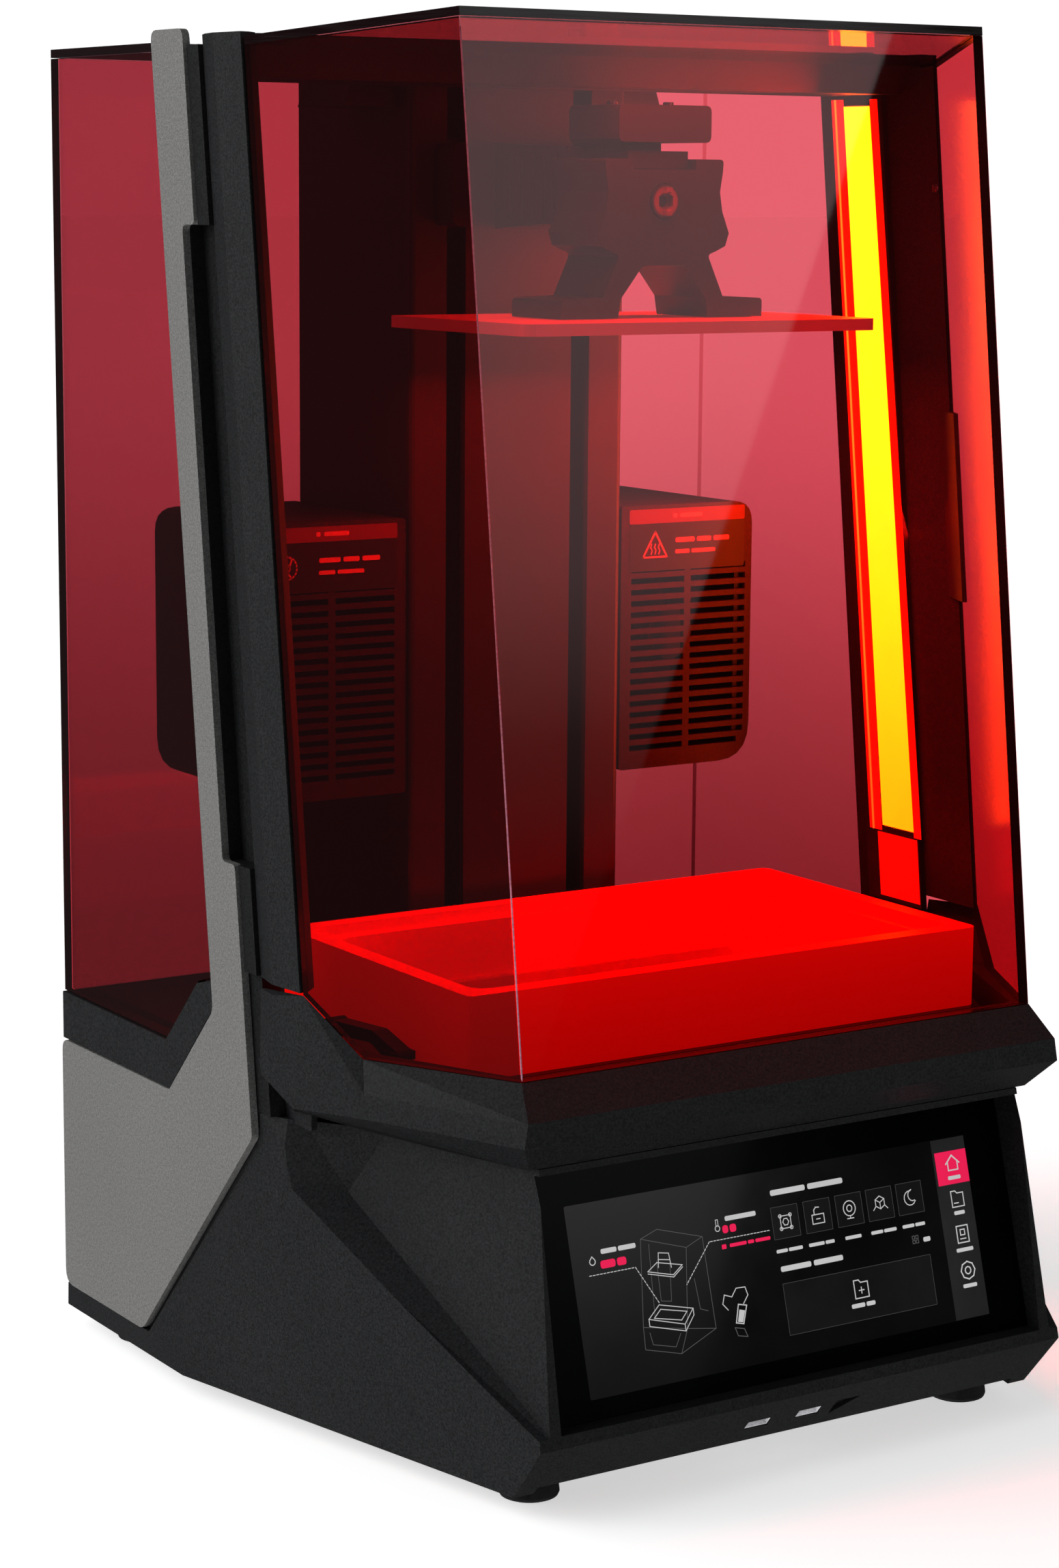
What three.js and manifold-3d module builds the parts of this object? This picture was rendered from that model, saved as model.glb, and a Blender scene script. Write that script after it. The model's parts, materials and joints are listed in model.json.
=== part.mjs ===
// Desktop resin printer with a red acrylic hood, as an assembly of separate pieces.
// Millimetres, +X right, +Y back, +Z up. The origin is the centre of the footprint, at the feet.
import * as THREE from "three";
import { ConvexGeometry } from "three/addons/geometries/ConvexGeometry.js";
import { mergeVertices } from "three/addons/utils/BufferGeometryUtils.js";
import Module from "manifold-3d";

const wasm = await Module();
wasm.setup();

// ---------------------------------------------------------------- driving dimensions

// Overall
const width = 400; // over the two side panels
const depth = 373.2; // front lip to rear edge
const hoodTop = 659; // top of the hood at its front edge
const lean = 0.12; // the hood and the pillars lean back: run per rise
const gap = 0.4; // clearance between touching pieces
const wall = 3; // moulded casing wall

// Levels
const footHeight = 10;
const lipRise = 28; // front lip above the casing's bottom edge
const casingTop = 159; // top of the casing in front of the pillars
const casingRearTop = 152; // and behind them
const collarEdge = 173; // outer edge of the front collar
const rimTop = 199; // where the front glass stands
const shoulderTop = 224; // top of the collar at the hood's posts
const deckTop = 178;
const deckThickness = 5;
const seatTop = 190; // raised seat under the vat
const pillarTop = 645.5;
const rearGlassTop = 643;

// Plan
const noseInset = 51; // how much narrower than the side panels the lip is, on each side
const panelThickness = 3.7; // silver side panels
const pillarThickness = 10; // black inner pillars
const glass = 4; // acrylic sheet
const postWidth = 38.7; // hood post, front to back
const pillarWidth = 43; // inner pillar, front to back
const pillarFrontAtFloor = -47.6; // where the pillar's front edge would meet the floor
const hoodFrontInset = 0.8; // hood front glass behind the lip, measured at floor level

// Z axis
const towerWidth = 126;
const towerFront = 70;
const towerDepth = 111;
const railSpacing = 73.4;
const slotWidth = 11;
const screwRadius = 6;
const screwY = 98;
const carriageBottom = 562;
const carriageHeight = 44;

// Platform and vat
const platformWidth = 199.6;
const platformDepth = 119.5;
const platformThickness = 5.5;
const platformTop = 523;
const platformCentreY = -31.8;
const bracketDepth = 42;
const vatWidth = 292;
const vatDepth = 173;
const vatHeight = 39;
const vatCentreY = -34.5;
const vatWall = 18;

// Side boxes
const boxWidth = 83;
const boxDepth = 109;
const boxBottom = 285;
const boxHeight = 137;
const boxWall = 2.5;
const fanRadius = 34;

// Control panel
const screenWidth = 274;
const screenLean = 0.2828; // run per rise
const screenBottom = 44;
const screenTop = 153;
const screenGlass = 3;

// Hood hinge
const hingeZ = 646;
const hingePinRadius = 2.5;
const knuckleRadius = 5;

// ---------------------------------------------------------------- derived stations

const halfW = width / 2;
const front = -depth / 2;
const rear = depth / 2;
const noseHalf = halfW - noseInset;
const bodySide = halfW - panelThickness - gap;
const pillarInner = bodySide - pillarThickness + gap;
const postBackAtFloor = pillarFrontAtFloor - gap - 0.2;
const postFrontAtFloor = postBackAtFloor - postWidth;
const glassSide = halfW - 3.5; // outer face of the side glass at the hood's posts
const glassBackAtFloor = postFrontAtFloor - 0.9;
const glassFrontAtFloor = front + hoodFrontInset;
const glassNoseHalf = noseHalf - 4.5;
const ridgeY = postBackAtFloor - 16.6; // sharpest outer edge of a hood post
const leaning = (yAtFloor, z) => yAtFloor + lean * z;
const hingeY = leaning(postBackAtFloor, hingeZ) + 0.7;

// ---------------------------------------------------------------- shape helpers

function toSolid(geometry) {
  const g = new THREE.BufferGeometry();
  g.setAttribute("position", geometry.getAttribute("position").clone());
  if (geometry.index) g.setIndex(geometry.index.clone());
  const merged = mergeVertices(g, 1e-4);
  return new wasm.Manifold(
    new wasm.Mesh({
      numProp: 3,
      vertProperties: new Float32Array(merged.attributes.position.array),
      triVerts: new Uint32Array(merged.index.array),
    }),
  );
}

function toGeometry(solid) {
  const mesh = solid.getMesh();
  const g = new THREE.BufferGeometry();
  g.setAttribute("position", new THREE.BufferAttribute(mesh.vertProperties, 3));
  g.setIndex(new THREE.BufferAttribute(mesh.triVerts, 1));
  g.computeVertexNormals();
  return g;
}

function cut(geometry, ...tools) {
  let solid = toSolid(geometry);
  for (const tool of tools) solid = solid.subtract(toSolid(tool));
  return toGeometry(solid);
}

function join(...pieces) {
  let solid = toSolid(pieces[0]);
  for (const piece of pieces.slice(1)) solid = solid.add(toSolid(piece));
  return toGeometry(solid);
}

function box(x0, x1, y0, y1, z0, z1) {
  const g = new THREE.BoxGeometry(x1 - x0, y1 - y0, z1 - z0);
  return g.translate((x0 + x1) / 2, (y0 + y1) / 2, (z0 + z1) / 2);
}

function hull(points) {
  return new ConvexGeometry(points.map((p) => new THREE.Vector3(...p)));
}

// Convex hull of points given for the right side, with their mirror images on the left.
function symmetricHull(points) {
  return hull(points.flatMap(([x, y, z]) => [[x, y, z], [-x, y, z]]));
}

function mirrorX(geometry) {
  const g = geometry.index ? geometry.toNonIndexed() : geometry.clone();
  const p = g.getAttribute("position").array;
  for (let i = 0; i < p.length; i += 9) {
    for (let k = 0; k < 3; k++) {
      const swap = p[i + 3 + k];
      p[i + 3 + k] = p[i + 6 + k];
      p[i + 6 + k] = swap;
    }
  }
  for (let i = 0; i < p.length; i += 3) p[i] = -p[i];
  g.computeVertexNormals();
  return g;
}

// A 2-D outline whose corners are rounded. A corner is [a, b] or [a, b, radius].
function outline(corners, steps = 5) {
  const shape = new THREE.Shape();
  const points = [];
  corners.forEach(([a, b, radius = 0], i) => {
    const here = new THREE.Vector2(a, b);
    if (!radius) {
      points.push(here);
      return;
    }
    const before = corners[(i + corners.length - 1) % corners.length];
    const after = corners[(i + 1) % corners.length];
    const inward = new THREE.Vector2(before[0] - a, before[1] - b).normalize();
    const outward = new THREE.Vector2(after[0] - a, after[1] - b).normalize();
    const half = Math.acos(inward.dot(outward)) / 2;
    const reach = radius / Math.tan(half);
    const start = here.clone().addScaledVector(inward, reach);
    const end = here.clone().addScaledVector(outward, reach);
    for (let k = 0; k <= steps; k++) {
      const t = k / steps;
      const p = start.clone().multiplyScalar((1 - t) * (1 - t));
      p.addScaledVector(here, 2 * t * (1 - t)).addScaledVector(end, t * t);
      points.push(p);
    }
  });
  shape.setFromPoints(points);
  return shape;
}

const flat = { bevelEnabled: false, steps: 1, curveSegments: 1 };

// Outline in (y, z), extruded along X from x0 to x1.
function prismX(corners, x0, x1, steps) {
  const g = new THREE.ExtrudeGeometry(outline(corners, steps), { ...flat, depth: x1 - x0 });
  const turn = new THREE.Matrix4().set(0, 0, 1, x0, 1, 0, 0, 0, 0, 1, 0, 0, 0, 0, 0, 1);
  return g.applyMatrix4(turn);
}

// Outline in (x, z), extruded along Y from y0 to y1.
function prismY(corners, y0, y1, steps) {
  const g = new THREE.ExtrudeGeometry(outline(corners, steps), { ...flat, depth: y1 - y0 });
  return g.applyMatrix4(new THREE.Matrix4().set(1, 0, 0, 0, 0, 0, -1, y1, 0, 1, 0, 0, 0, 0, 0, 1));
}

// Outline in (x, y), extruded along Z from z0 to z1.
function prismZ(corners, z0, z1, steps) {
  const g = new THREE.ExtrudeGeometry(outline(corners, steps), { ...flat, depth: z1 - z0 });
  return g.translate(0, 0, z0);
}

// Shears a piece so that it leans back with the hood.
function leanBack(geometry) {
  return geometry.applyMatrix4(new THREE.Matrix4().set(1, 0, 0, 0, 0, 1, lean, 0, 0, 0, 1, 0, 0, 0, 0, 1));
}

function cylinder(radius, length, segments, axis, x, y, z) {
  const g = new THREE.CylinderGeometry(radius, radius, length, segments);
  if (axis === "x") g.rotateZ(Math.PI / 2);
  if (axis === "z") g.rotateX(Math.PI / 2);
  return g.translate(x, y, z);
}

// ---------------------------------------------------------------- finishes

const finishes = {
  casing: { color: 0x1c1e20, roughness: 0.62, metalness: 0 },
  silver: { color: 0x9c9a96, roughness: 0.48, metalness: 0.6 },
  acrylic: { color: 0xa01018, roughness: 0.06, metalness: 0, transparent: true, opacity: 0.45 },
  rubber: { color: 0x111111, roughness: 0.9, metalness: 0 },
  interior: { color: 0x24262a, roughness: 0.55, metalness: 0.1 },
  steel: { color: 0xb8bcc0, roughness: 0.28, metalness: 1 },
  aluminium: { color: 0xc9ccd0, roughness: 0.35, metalness: 1 },
  glassBlack: { color: 0x08090a, roughness: 0.08, metalness: 0 },
  light: { color: 0xffd79a, roughness: 0.4, metalness: 0 },
  board: { color: 0x16512e, roughness: 0.5, metalness: 0 },
};

const printer = new THREE.Group();

function add(name, finish, geometry, parent = printer) {
  const mesh = new THREE.Mesh(geometry, new THREE.MeshStandardMaterial(finishes[finish]));
  mesh.name = name;
  parent.add(mesh);
  return mesh;
}

// Adds NAME_right as given and NAME_left as its mirror image.
function addPair(name, finish, geometry, parent = printer) {
  add(name + "_right", finish, geometry, parent);
  add(name + "_left", finish, mirrorX(geometry), parent);
}

// ---------------------------------------------------------------- lower casing

const kinkY = 57; // where the tapering nose starts, at the bottom edge
const breastY = -27.7; // vertical edge where the nose starts, above the kink
const breastX = halfW - 18;
const breastZ = 128; // lower end of that edge
const panelFrontY = -17.8; // front corner of the silver panel
const panelFrontZ = 147.5;
const lipZ = footHeight + lipRise;
const browY = front + 22.2; // front face at the casing's top
const chinY = front + 22.9; // front edge of the bottom
const noseTaper = 7.4; // how much narrower the nose is at the top, on each side
const recessDepth = 5; // shallow triangular panel in each side of the nose
const screenFaceY = (z) => front + 35.15 + screenLean * (z - 135.6);

// The casing's outer form, or with inset > 0 the same form made smaller for the hollow.
function casingForm(inset) {
  const s = bodySide - inset;
  const hip = inset ? s : halfW - 1;
  const noseInner = inset ? inset + recessDepth + 4 : 0;
  const shoulderY = panelFrontY + 3.5 * noseInner;
  const bottom = footHeight - (inset ? 1 : 0);
  const top = casingTop + (inset ? 1 : 0);
  const frontLip = inset ? screenFaceY(lipZ) + screenGlass + 2 * inset : front;
  const frontTop = inset ? screenFaceY(casingTop) + screenGlass + 2 * inset : browY;
  const frontBottom = inset ? frontLip + 4 : chinY;
  const frontHalf = inset ? noseHalf - recessDepth - 2 * inset : noseHalf;
  return symmetricHull([
    [hip, rear - inset, bottom],
    [s, rear - inset, top],
    [s, shoulderY, top],
    [s, shoulderY, panelFrontZ],
    [hip, kinkY + inset, bottom],
    [breastX - noseInner, breastY + noseInner, breastZ],
    [breastX - noseInner, breastY + noseInner, top],
    [frontHalf - noseTaper, frontTop, top],
    [frontHalf, frontLip, lipZ + inset],
    [frontHalf - 1, frontBottom, bottom],
  ]);
}

// Shallow faceted panel sunk into the right side of the nose. Its plane holds three corners of the casing.
function noseRecess() {
  const breast = new THREE.Vector3(breastX, breastY, breastZ);
  const lip = new THREE.Vector3(noseHalf, front, lipZ).sub(breast);
  const brow = new THREE.Vector3(noseHalf - noseTaper, browY, casingTop).sub(breast);
  const out = brow.clone().cross(lip).normalize();
  const corner = (y, z, height) => {
    const x = breastX - (out.y * (y - breastY) + out.z * (z - breastZ)) / out.x;
    return [x + out.x * height, y + out.y * height, z + out.z * height];
  };
  const proud = 14;
  return hull([
    corner(breastY - 1, breastZ - 3, proud),
    corner(front - 6, lipZ - 4, proud),
    corner(front - 6, casingTop + 12, proud),
    corner(breastY - 1, casingTop + 12, proud),
    corner(breastY - 28, breastZ - 1, -recessDepth),
    corner(front - 6, lipZ + 3, -recessDepth),
    corner(front - 6, casingTop + 12, -recessDepth),
    corner(breastY - 56, casingTop - 4, -recessDepth),
    corner(breastY - 56, casingTop + 12, -recessDepth),
  ]);
}

// Seat of the right side panel, from the panel's inner face outwards.
function panelSeat() {
  return prismX(
    [
      [rear + 5, panelBottomZ - gap],
      [rear + 5, casingTop + 20],
      [panelFrontY - gap, casingTop + 20],
      [panelFrontY - gap, panelFrontZ - 4],
      [panelFootY - gap - 4, panelBottomZ - gap],
    ].reverse(),
    bodySide,
    width,
  );
}

// Opening for the control panel, from outside the front face to the panel's back.
function screenRecess() {
  const half = screenWidth / 2 + gap;
  const back = screenGlass + 2 * gap;
  return symmetricHull([
    [half, front - 10, screenBottom - gap],
    [half, front - 10, screenTop + 3],
    [half, screenFaceY(screenBottom - gap) + back, screenBottom - gap],
    [half, screenFaceY(screenTop) + back, screenTop + gap],
    [half, browY + 1, screenTop + 3],
  ]);
}

const usb = { width: 13.1, height: 5.7, depth: 16, shell: 0.5 };
const usbCentres = [-22.3, 6.9];
const bevelAngle = Math.atan2(chinY - front, lipRise); // slope of the under-bevel
const bevelMidY = (front + chinY) / 2;
const bevelMidZ = footHeight + lipRise / 2;

// Geometry drawn looking along +Y at the origin, moved onto the under-bevel of the lip.
function ontoBevel(geometry, x) {
  return geometry.rotateX(bevelAngle).translate(x, bevelMidY, bevelMidZ);
}

const inlet = { x: 130, z: 62, width: 27, height: 20, depth: 16 };
const rocker = { x: 82, z: 62, width: 19, height: 27, depth: 14 };

function rearVents() {
  const vents = [];
  const count = 9;
  for (let i = 0; i < count; i++) {
    const x = -150 + i * 20;
    vents.push(box(x - 3, x + 3, rear - wall - 2, rear + 2, 45, 125));
  }
  return vents;
}

function casing() {
  const shell = cut(
    casingForm(0),
    box(-width, width, panelFrontY - 0.2, rear + 5, casingRearTop, casingTop + 20),
    noseRecess(),
    mirrorX(noseRecess()),
    panelSeat(),
    mirrorX(panelSeat()),
    screenRecess(),
    casingForm(wall),
  );
  const displayHalf = 118;
  const displayHole = box(-displayHalf, displayHalf, front, front + 60, screenBottom + 6, screenTop - 6);
  const portHalfW = usb.width / 2 + gap;
  const portHalfH = usb.height / 2 + gap;
  const port = () => box(-portHalfW, portHalfW, -8, 40, -portHalfH, portHalfH);
  const usbHoles = usbCentres.map((x) => ontoBevel(port(), x));
  const notch = ontoBevel(prismY([[-7, 5], [7, 5], [-7, -6]], -6, 2), 28);
  const inletHole = box(
    inlet.x - inlet.width / 2 - 1,
    inlet.x + inlet.width / 2 + 1,
    rear - wall - 3,
    rear + 3,
    inlet.z - inlet.height / 2 - 1,
    inlet.z + inlet.height / 2 + 1,
  );
  const rockerHole = box(
    rocker.x - rocker.width / 2 - 1,
    rocker.x + rocker.width / 2 + 1,
    rear - wall - 3,
    rear + 3,
    rocker.z - rocker.height / 2 - 1,
    rocker.z + rocker.height / 2 + 1,
  );
  return cut(shell, displayHole, ...usbHoles, notch, inletHole, rockerHole, ...rearVents());
}

const basePlateThickness = 2.5;

function basePlate() {
  const inset = wall + 1.5;
  return symmetricPlate(
    [
      [noseHalf - recessDepth - 9, chinY + 18],
      [bodySide - inset - 2, kinkY + 8],
      [bodySide - inset, rear - inset],
    ],
    footHeight,
    footHeight + basePlateThickness,
  );
}

// Plate whose outline is given for the right side, front to back.
function symmetricPlate(right, z0, z1) {
  const left = right.map(([x, y]) => [-x, y]).reverse();
  return prismZ([...right, ...left], z0, z1);
}

const footRadius = 14;
const footPlaces = {
  front_right: [noseHalf - 24, front + 46],
  front_left: [-noseHalf + 24, front + 46],
  rear_right: [halfW - 25, rear - 40],
  rear_left: [-halfW + 25, rear - 40],
};

function foot() {
  const profile = [
    [0, 0],
    [footRadius - 2, 0],
    [footRadius - 0.6, 0.6],
    [footRadius, 2],
    [footRadius - 1, footHeight - gap],
    [0, footHeight - gap],
  ].map(([r, z]) => new THREE.Vector2(r, z));
  return new THREE.LatheGeometry(profile, 28).rotateX(Math.PI / 2);
}

// ---------------------------------------------------------------- collars and deck

const collarInner = 8; // width of the collar's rim behind the glass
const collarBand = 11; // height of the collar's upright band

function frontCollar() {
  const foot = [
    [noseHalf - noseTaper, browY, casingTop + gap],
    [breastX - 14.5, breastY - 57, casingTop + gap],
    [breastX, breastY, casingTop + gap],
    [breastX, panelFrontY - 9, casingTop + gap],
  ];
  const band = [
    [noseHalf + 2.5, front + 10.6, collarEdge],
    [halfW - 15, front + 88, collarEdge],
    [noseHalf + 0.6, front + 10.8, collarEdge + collarBand],
    [halfW - 15, front + 91, collarEdge + collarBand],
  ];
  const rim = [
    [glassNoseHalf, leaning(glassFrontAtFloor, rimTop) - 0.4, rimTop - gap],
    [halfW - 17.5, leaning(glassBackAtFloor, rimTop) - 26.5, rimTop - gap],
  ];
  const shoulder = [
    [halfW - 1.6, breastY - 26.7, collarEdge - 3],
    [halfW - 0.2, breastY + 3.5, collarEdge + 8],
    [glassSide, leaning(glassBackAtFloor, shoulderTop) - 0.4, shoulderTop - 0.4],
    [halfW - 0.2, leaning(ridgeY, shoulderTop), shoulderTop - 4.4],
    [halfW - 3, leaning(postBackAtFloor, shoulderTop), shoulderTop - 4.4],
    [halfW - 3, panelFrontY - 9, collarEdge + 8],
  ];
  const deepBack = [halfW - 3, panelFrontY - 9, rimTop - gap];
  const nose = symmetricHull([...foot, ...band, ...rim, deepBack, shoulder[0], shoulder[1]]);
  const rise = hull([foot[1], foot[2], foot[3], band[1], band[3], rim[1], deepBack, ...shoulder]);
  const frontInside = leaning(glassFrontAtFloor, rimTop) + collarInner;
  const inside = symmetricPlate(
    [
      [glassNoseHalf - 4.5, frontInside],
      [pillarInner - gap, leaning(glassBackAtFloor, rimTop) + 9],
      [pillarInner - gap, 60],
    ],
    casingTop - 1,
    shoulderTop + 20,
  );
  const behindPillars = box(-width, width, pillarFrontAtFloor - gap, 200, casingTop - 5, shoulderTop + 20);
  const behind = leanBack(behindPillars);
  return cut(join(nose, rise, mirrorX(rise)), inside, behind);
}

// Outline of the silver panel's V-shaped edge, shared by the panel and the rear collar.
const veeBottom = { y: 66.5, z: 151.8 };
const veeTopZ = 200.4;
const veeTop = { y: leaning(pillarFrontAtFloor + pillarWidth, veeTopZ) + 0.95, z: veeTopZ };

function rearCollar() {
  const outerX = halfW - 0.6;
  const innerX = pillarInner + 2;
  const side = [
    [rear - 0.2, casingRearTop + gap],
    [veeBottom.y + 0.8, casingRearTop + gap],
    [veeTop.y + 0.8, veeTop.z + 1],
    [veeTop.y + 2.6, veeTop.z + 14],
    [37.5, 210.2],
    [70.6, 175.8],
    [rear - 0.2, 176.6],
  ];
  const clearOfPillar = leanBack(
    box(-width, width, -100, pillarFrontAtFloor + pillarWidth + gap, casingRearTop - 20, 300),
  );
  const right = cut(prismX(side, innerX, outerX), clearOfPillar);
  const back = box(-outerX + 2, outerX - 2, rear - 9, rear - 0.2, casingRearTop + gap, 176.6);
  const ring = join(right, mirrorX(right), back);
  // The outer faces slope in towards the glass.
  const slope = prismX([[rear + 3, 160], [rear + 3, 190], [rear - 3.2, 190]], -width, width);
  return cut(ring, slope);
}

const windowHalf = vatWidth / 2 - 41;
const windowFront = vatCentreY - 62;
const windowBack = vatCentreY + 62;

function deckPlate() {
  const side = pillarInner - 2 * gap;
  const frontY = leaning(glassFrontAtFloor, rimTop) + collarInner + gap;
  const plate = symmetricPlate(
    [
      [glassNoseHalf - 5.5, frontY],
      [side, leaning(glassBackAtFloor, rimTop) + 10],
      [side, rear - 9.6],
    ],
    deckTop - deckThickness,
    deckTop,
  );
  const seat = symmetricPlate(
    [
      [vatWidth / 2 + 1, vatCentreY - vatDepth / 2 - 3],
      [vatWidth / 2 + 18, vatCentreY - vatDepth / 2 + 30],
      [vatWidth / 2 + 18, vatCentreY + vatDepth / 2 + 3],
    ],
    deckTop - 1,
    seatTop - gap,
  );
  const opening = box(-windowHalf, windowHalf, windowFront, windowBack, deckTop - 10, seatTop + 2);
  const ledgeHalf = windowHalf + 4;
  const ledge = box(-ledgeHalf, ledgeHalf, windowFront - 4, windowBack + 4, seatTop - 5, seatTop + 2);
  const screwHole = cylinder(screwRadius + 2, 30, 24, "z", 0, screwY, deckTop - 5);
  return cut(join(plate, seat), opening, ledge, screwHole);
}

function projectionWindow() {
  const h = windowHalf + 4 - gap;
  return box(-h, h, windowFront - 4 + gap, windowBack + 4 - gap, seatTop - 5 + gap, seatTop - 0.8);
}

// ---------------------------------------------------------------- side panels and pillars

const notchBottom = 274;
const notchTop = 565;
const notchDepth = 12;
const panelTop = 652.9;
const panelBottomZ = 22;
const panelFootY = 98.2;

function sidePanel() {
  const frontAt = (z) => panelFrontY + lean * (z - panelFrontZ);
  const backAt = (z) => veeTop.y + lean * (z - veeTop.z);
  const corners = [
    [rear, panelBottomZ, 8],
    [rear, veeBottom.z, 6],
    [veeBottom.y, veeBottom.z, 3],
    [veeTop.y, veeTop.z, 8],
    [backAt(panelTop), panelTop, 5],
    [frontAt(panelTop), panelTop, 5],
    [frontAt(notchTop), notchTop, 3],
    [frontAt(notchTop) + notchDepth, notchTop, 3],
    [frontAt(notchBottom) + notchDepth, notchBottom, 3],
    [frontAt(notchBottom), notchBottom, 3],
    [panelFrontY, panelFrontZ, 6],
    [panelFootY, panelBottomZ, 10],
  ].reverse();
  return prismX(corners, halfW - panelThickness, halfW, 4);
}

function pillar() {
  const y0 = pillarFrontAtFloor;
  const y1 = pillarFrontAtFloor + pillarWidth;
  const outer = halfW - panelThickness - gap;
  const slab = leanBack(box(pillarInner, outer, y0, y1, casingRearTop - 30, pillarTop));
  const strip = leanBack(box(outer - 1, halfW - 1.4, y0, y0 + 11, shoulderTop + 1, pillarTop));
  const foot = box(-width, width, -200, 200, 0, casingRearTop + gap);
  const pocket = leanBack(
    box(outer - 6.5, halfW + 5, y0 - 5, y0 + 11.7 + notchDepth, notchBottom, notchTop),
  );
  const clearOfCasing = box(outer - 40, halfW + 5, -200, panelFrontY + 0.4, 0, casingTop + gap);
  return cut(join(slab, strip), foot, pocket, clearOfCasing);
}

const bridgeDepth = 38;
const hingeX = 140; // centre of each hinge
const knuckleHalf = 10;
const lugWidth = 9;

// Fixed bridge between the pillars, with the lugs that carry the hinge pins.
function topBridge() {
  const y0 = leaning(pillarFrontAtFloor, pillarTop) + 1.2;
  const half = pillarInner - gap;
  const beam = prismX(
    [
      [y0, pillarTop - 15],
      [y0 + bridgeDepth - 4, pillarTop - 15],
      [y0 + bridgeDepth - 2, pillarTop],
      [y0, pillarTop],
    ],
    -half,
    half,
  );
  const lugs = [];
  const clear = [];
  for (const side of [-1, 1]) {
    const middle = side * hingeX;
    clear.push(cylinder(knuckleRadius + 0.8, 2 * knuckleHalf + 1.6, 32, "x", middle, hingeY, hingeZ));
    for (const end of [-1, 1]) {
      const x = middle + end * (knuckleHalf + 0.8 + lugWidth / 2);
      lugs.push(cylinder(knuckleRadius, lugWidth, 32, "x", x, hingeY, hingeZ));
      const web = [
        [hingeY, hingeZ - knuckleRadius + 0.2],
        [y0 + 4, hingeZ - knuckleRadius + 0.2],
        [y0 + 4, pillarTop - 0.2],
        [hingeY, pillarTop - 0.2],
      ];
      lugs.push(prismX(web, x - lugWidth / 2, x + lugWidth / 2));
    }
  }
  const bores = [-1, 1].map((side) =>
    cylinder(hingePinRadius + 0.3, 60, 24, "x", side * hingeX, hingeY, hingeZ),
  );
  return cut(join(beam, ...lugs), ...clear, ...bores);
}

function hingePin() {
  const length = 2 * (knuckleHalf + lugWidth) + 4;
  return cylinder(hingePinRadius, length, 24, "x", hingeX, hingeY, hingeZ);
}

// ---------------------------------------------------------------- rear glass

const rearGlassX = halfW - 2;

function rearGlassSide() {
  const bottomFront = leaning(pillarFrontAtFloor + pillarWidth, 210) + 2;
  const topFront = leaning(pillarFrontAtFloor + pillarWidth, rearGlassTop) + 2;
  const corners = [
    [rear, 177.2],
    [rear, rearGlassTop],
    [topFront, rearGlassTop],
    [bottomFront + 0.4, 216],
    [38.2, 211],
    [71, 176.6],
  ].reverse();
  return prismX(corners, rearGlassX - glass, rearGlassX);
}

function rearGlassBack() {
  const half = rearGlassX - glass - gap;
  return box(-half, half, rear - glass, rear, 177.2, rearGlassTop);
}

function rearGlassTopPanel() {
  const half = rearGlassX;
  const y0 = leaning(pillarFrontAtFloor + pillarWidth, rearGlassTop) + 2.5;
  return box(-half, half, y0, rear, rearGlassTop + gap, rearGlassTop + gap + glass);
}

// ---------------------------------------------------------------- hood

const hoodTopBack = 648; // top glass at its back edge
const sideDir = new THREE.Vector2(
  glassSide - glassNoseHalf,
  glassBackAtFloor - glassFrontAtFloor,
).normalize();
const sideNormal = new THREE.Vector2(sideDir.y, -sideDir.x);

// Corner of the hood's glass in plan, moved inwards from the outer faces by INSET.
function glassCorner(inset) {
  const y = glassFrontAtFloor + inset;
  const along = (-inset - sideNormal.y * (y - glassBackAtFloor)) / sideNormal.x;
  return [glassSide + along, y];
}

function glassBack(inset) {
  return [glassSide - sideNormal.x * inset, glassBackAtFloor - sideNormal.y * inset];
}

const topFrontY = leaning(glassFrontAtFloor, hoodTop);
const topBackY = leaning(glassBackAtFloor, hoodTopBack);
const topSlope = (hoodTop - hoodTopBack) / (topBackY - topFrontY);

// Height of the top glass's underside, less DROP, above a point that stands at y on the floor.
function underTopGlass(yAtFloor, drop) {
  const level = hoodTop - glass - drop + topSlope * (topFrontY - yAtFloor);
  return level / (1 + topSlope * lean);
}

function hoodFrontGlass() {
  const points = [];
  for (const inset of [0, glass]) {
    const [x, y] = glassCorner(inset);
    for (const z of [rimTop, underTopGlass(y, gap)]) points.push([x - 0.2, leaning(y, z), z]);
  }
  return symmetricHull(points);
}

function hoodSideGlass() {
  const points = [];
  const shoulder = 14.5 / sideDir.x; // length of the raised rear corner, along the panel
  for (const inset of [0, glass]) {
    const [cx, cy] = glassCorner(inset);
    const [bx, by] = glassBack(inset);
    const step = [cx + 0.2 * sideDir.x + 0.1, cy + 0.4 * sideDir.y];
    const low = [bx - sideDir.x * shoulder, by - sideDir.y * shoulder];
    points.push([step[0], leaning(step[1], rimTop), rimTop]);
    const stepTop = underTopGlass(step[1], gap);
    points.push([step[0], leaning(step[1], stepTop), stepTop]);
    points.push([low[0], leaning(low[1], rimTop), rimTop]);
    points.push([bx, leaning(by, shoulderTop), shoulderTop]);
    const backTop = underTopGlass(by, gap);
    points.push([bx, leaning(by, backTop), backTop]);
  }
  return hull(points);
}

function hoodTopGlass() {
  const [cx, cy] = glassCorner(0);
  const [bx, by] = glassBack(0);
  const points = [];
  for (const drop of [0, glass]) {
    points.push([cx, leaning(cy, hoodTop - drop), hoodTop - drop]);
    points.push([bx, leaning(by, hoodTopBack - drop), hoodTopBack - drop]);
  }
  return symmetricHull(points);
}

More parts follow.
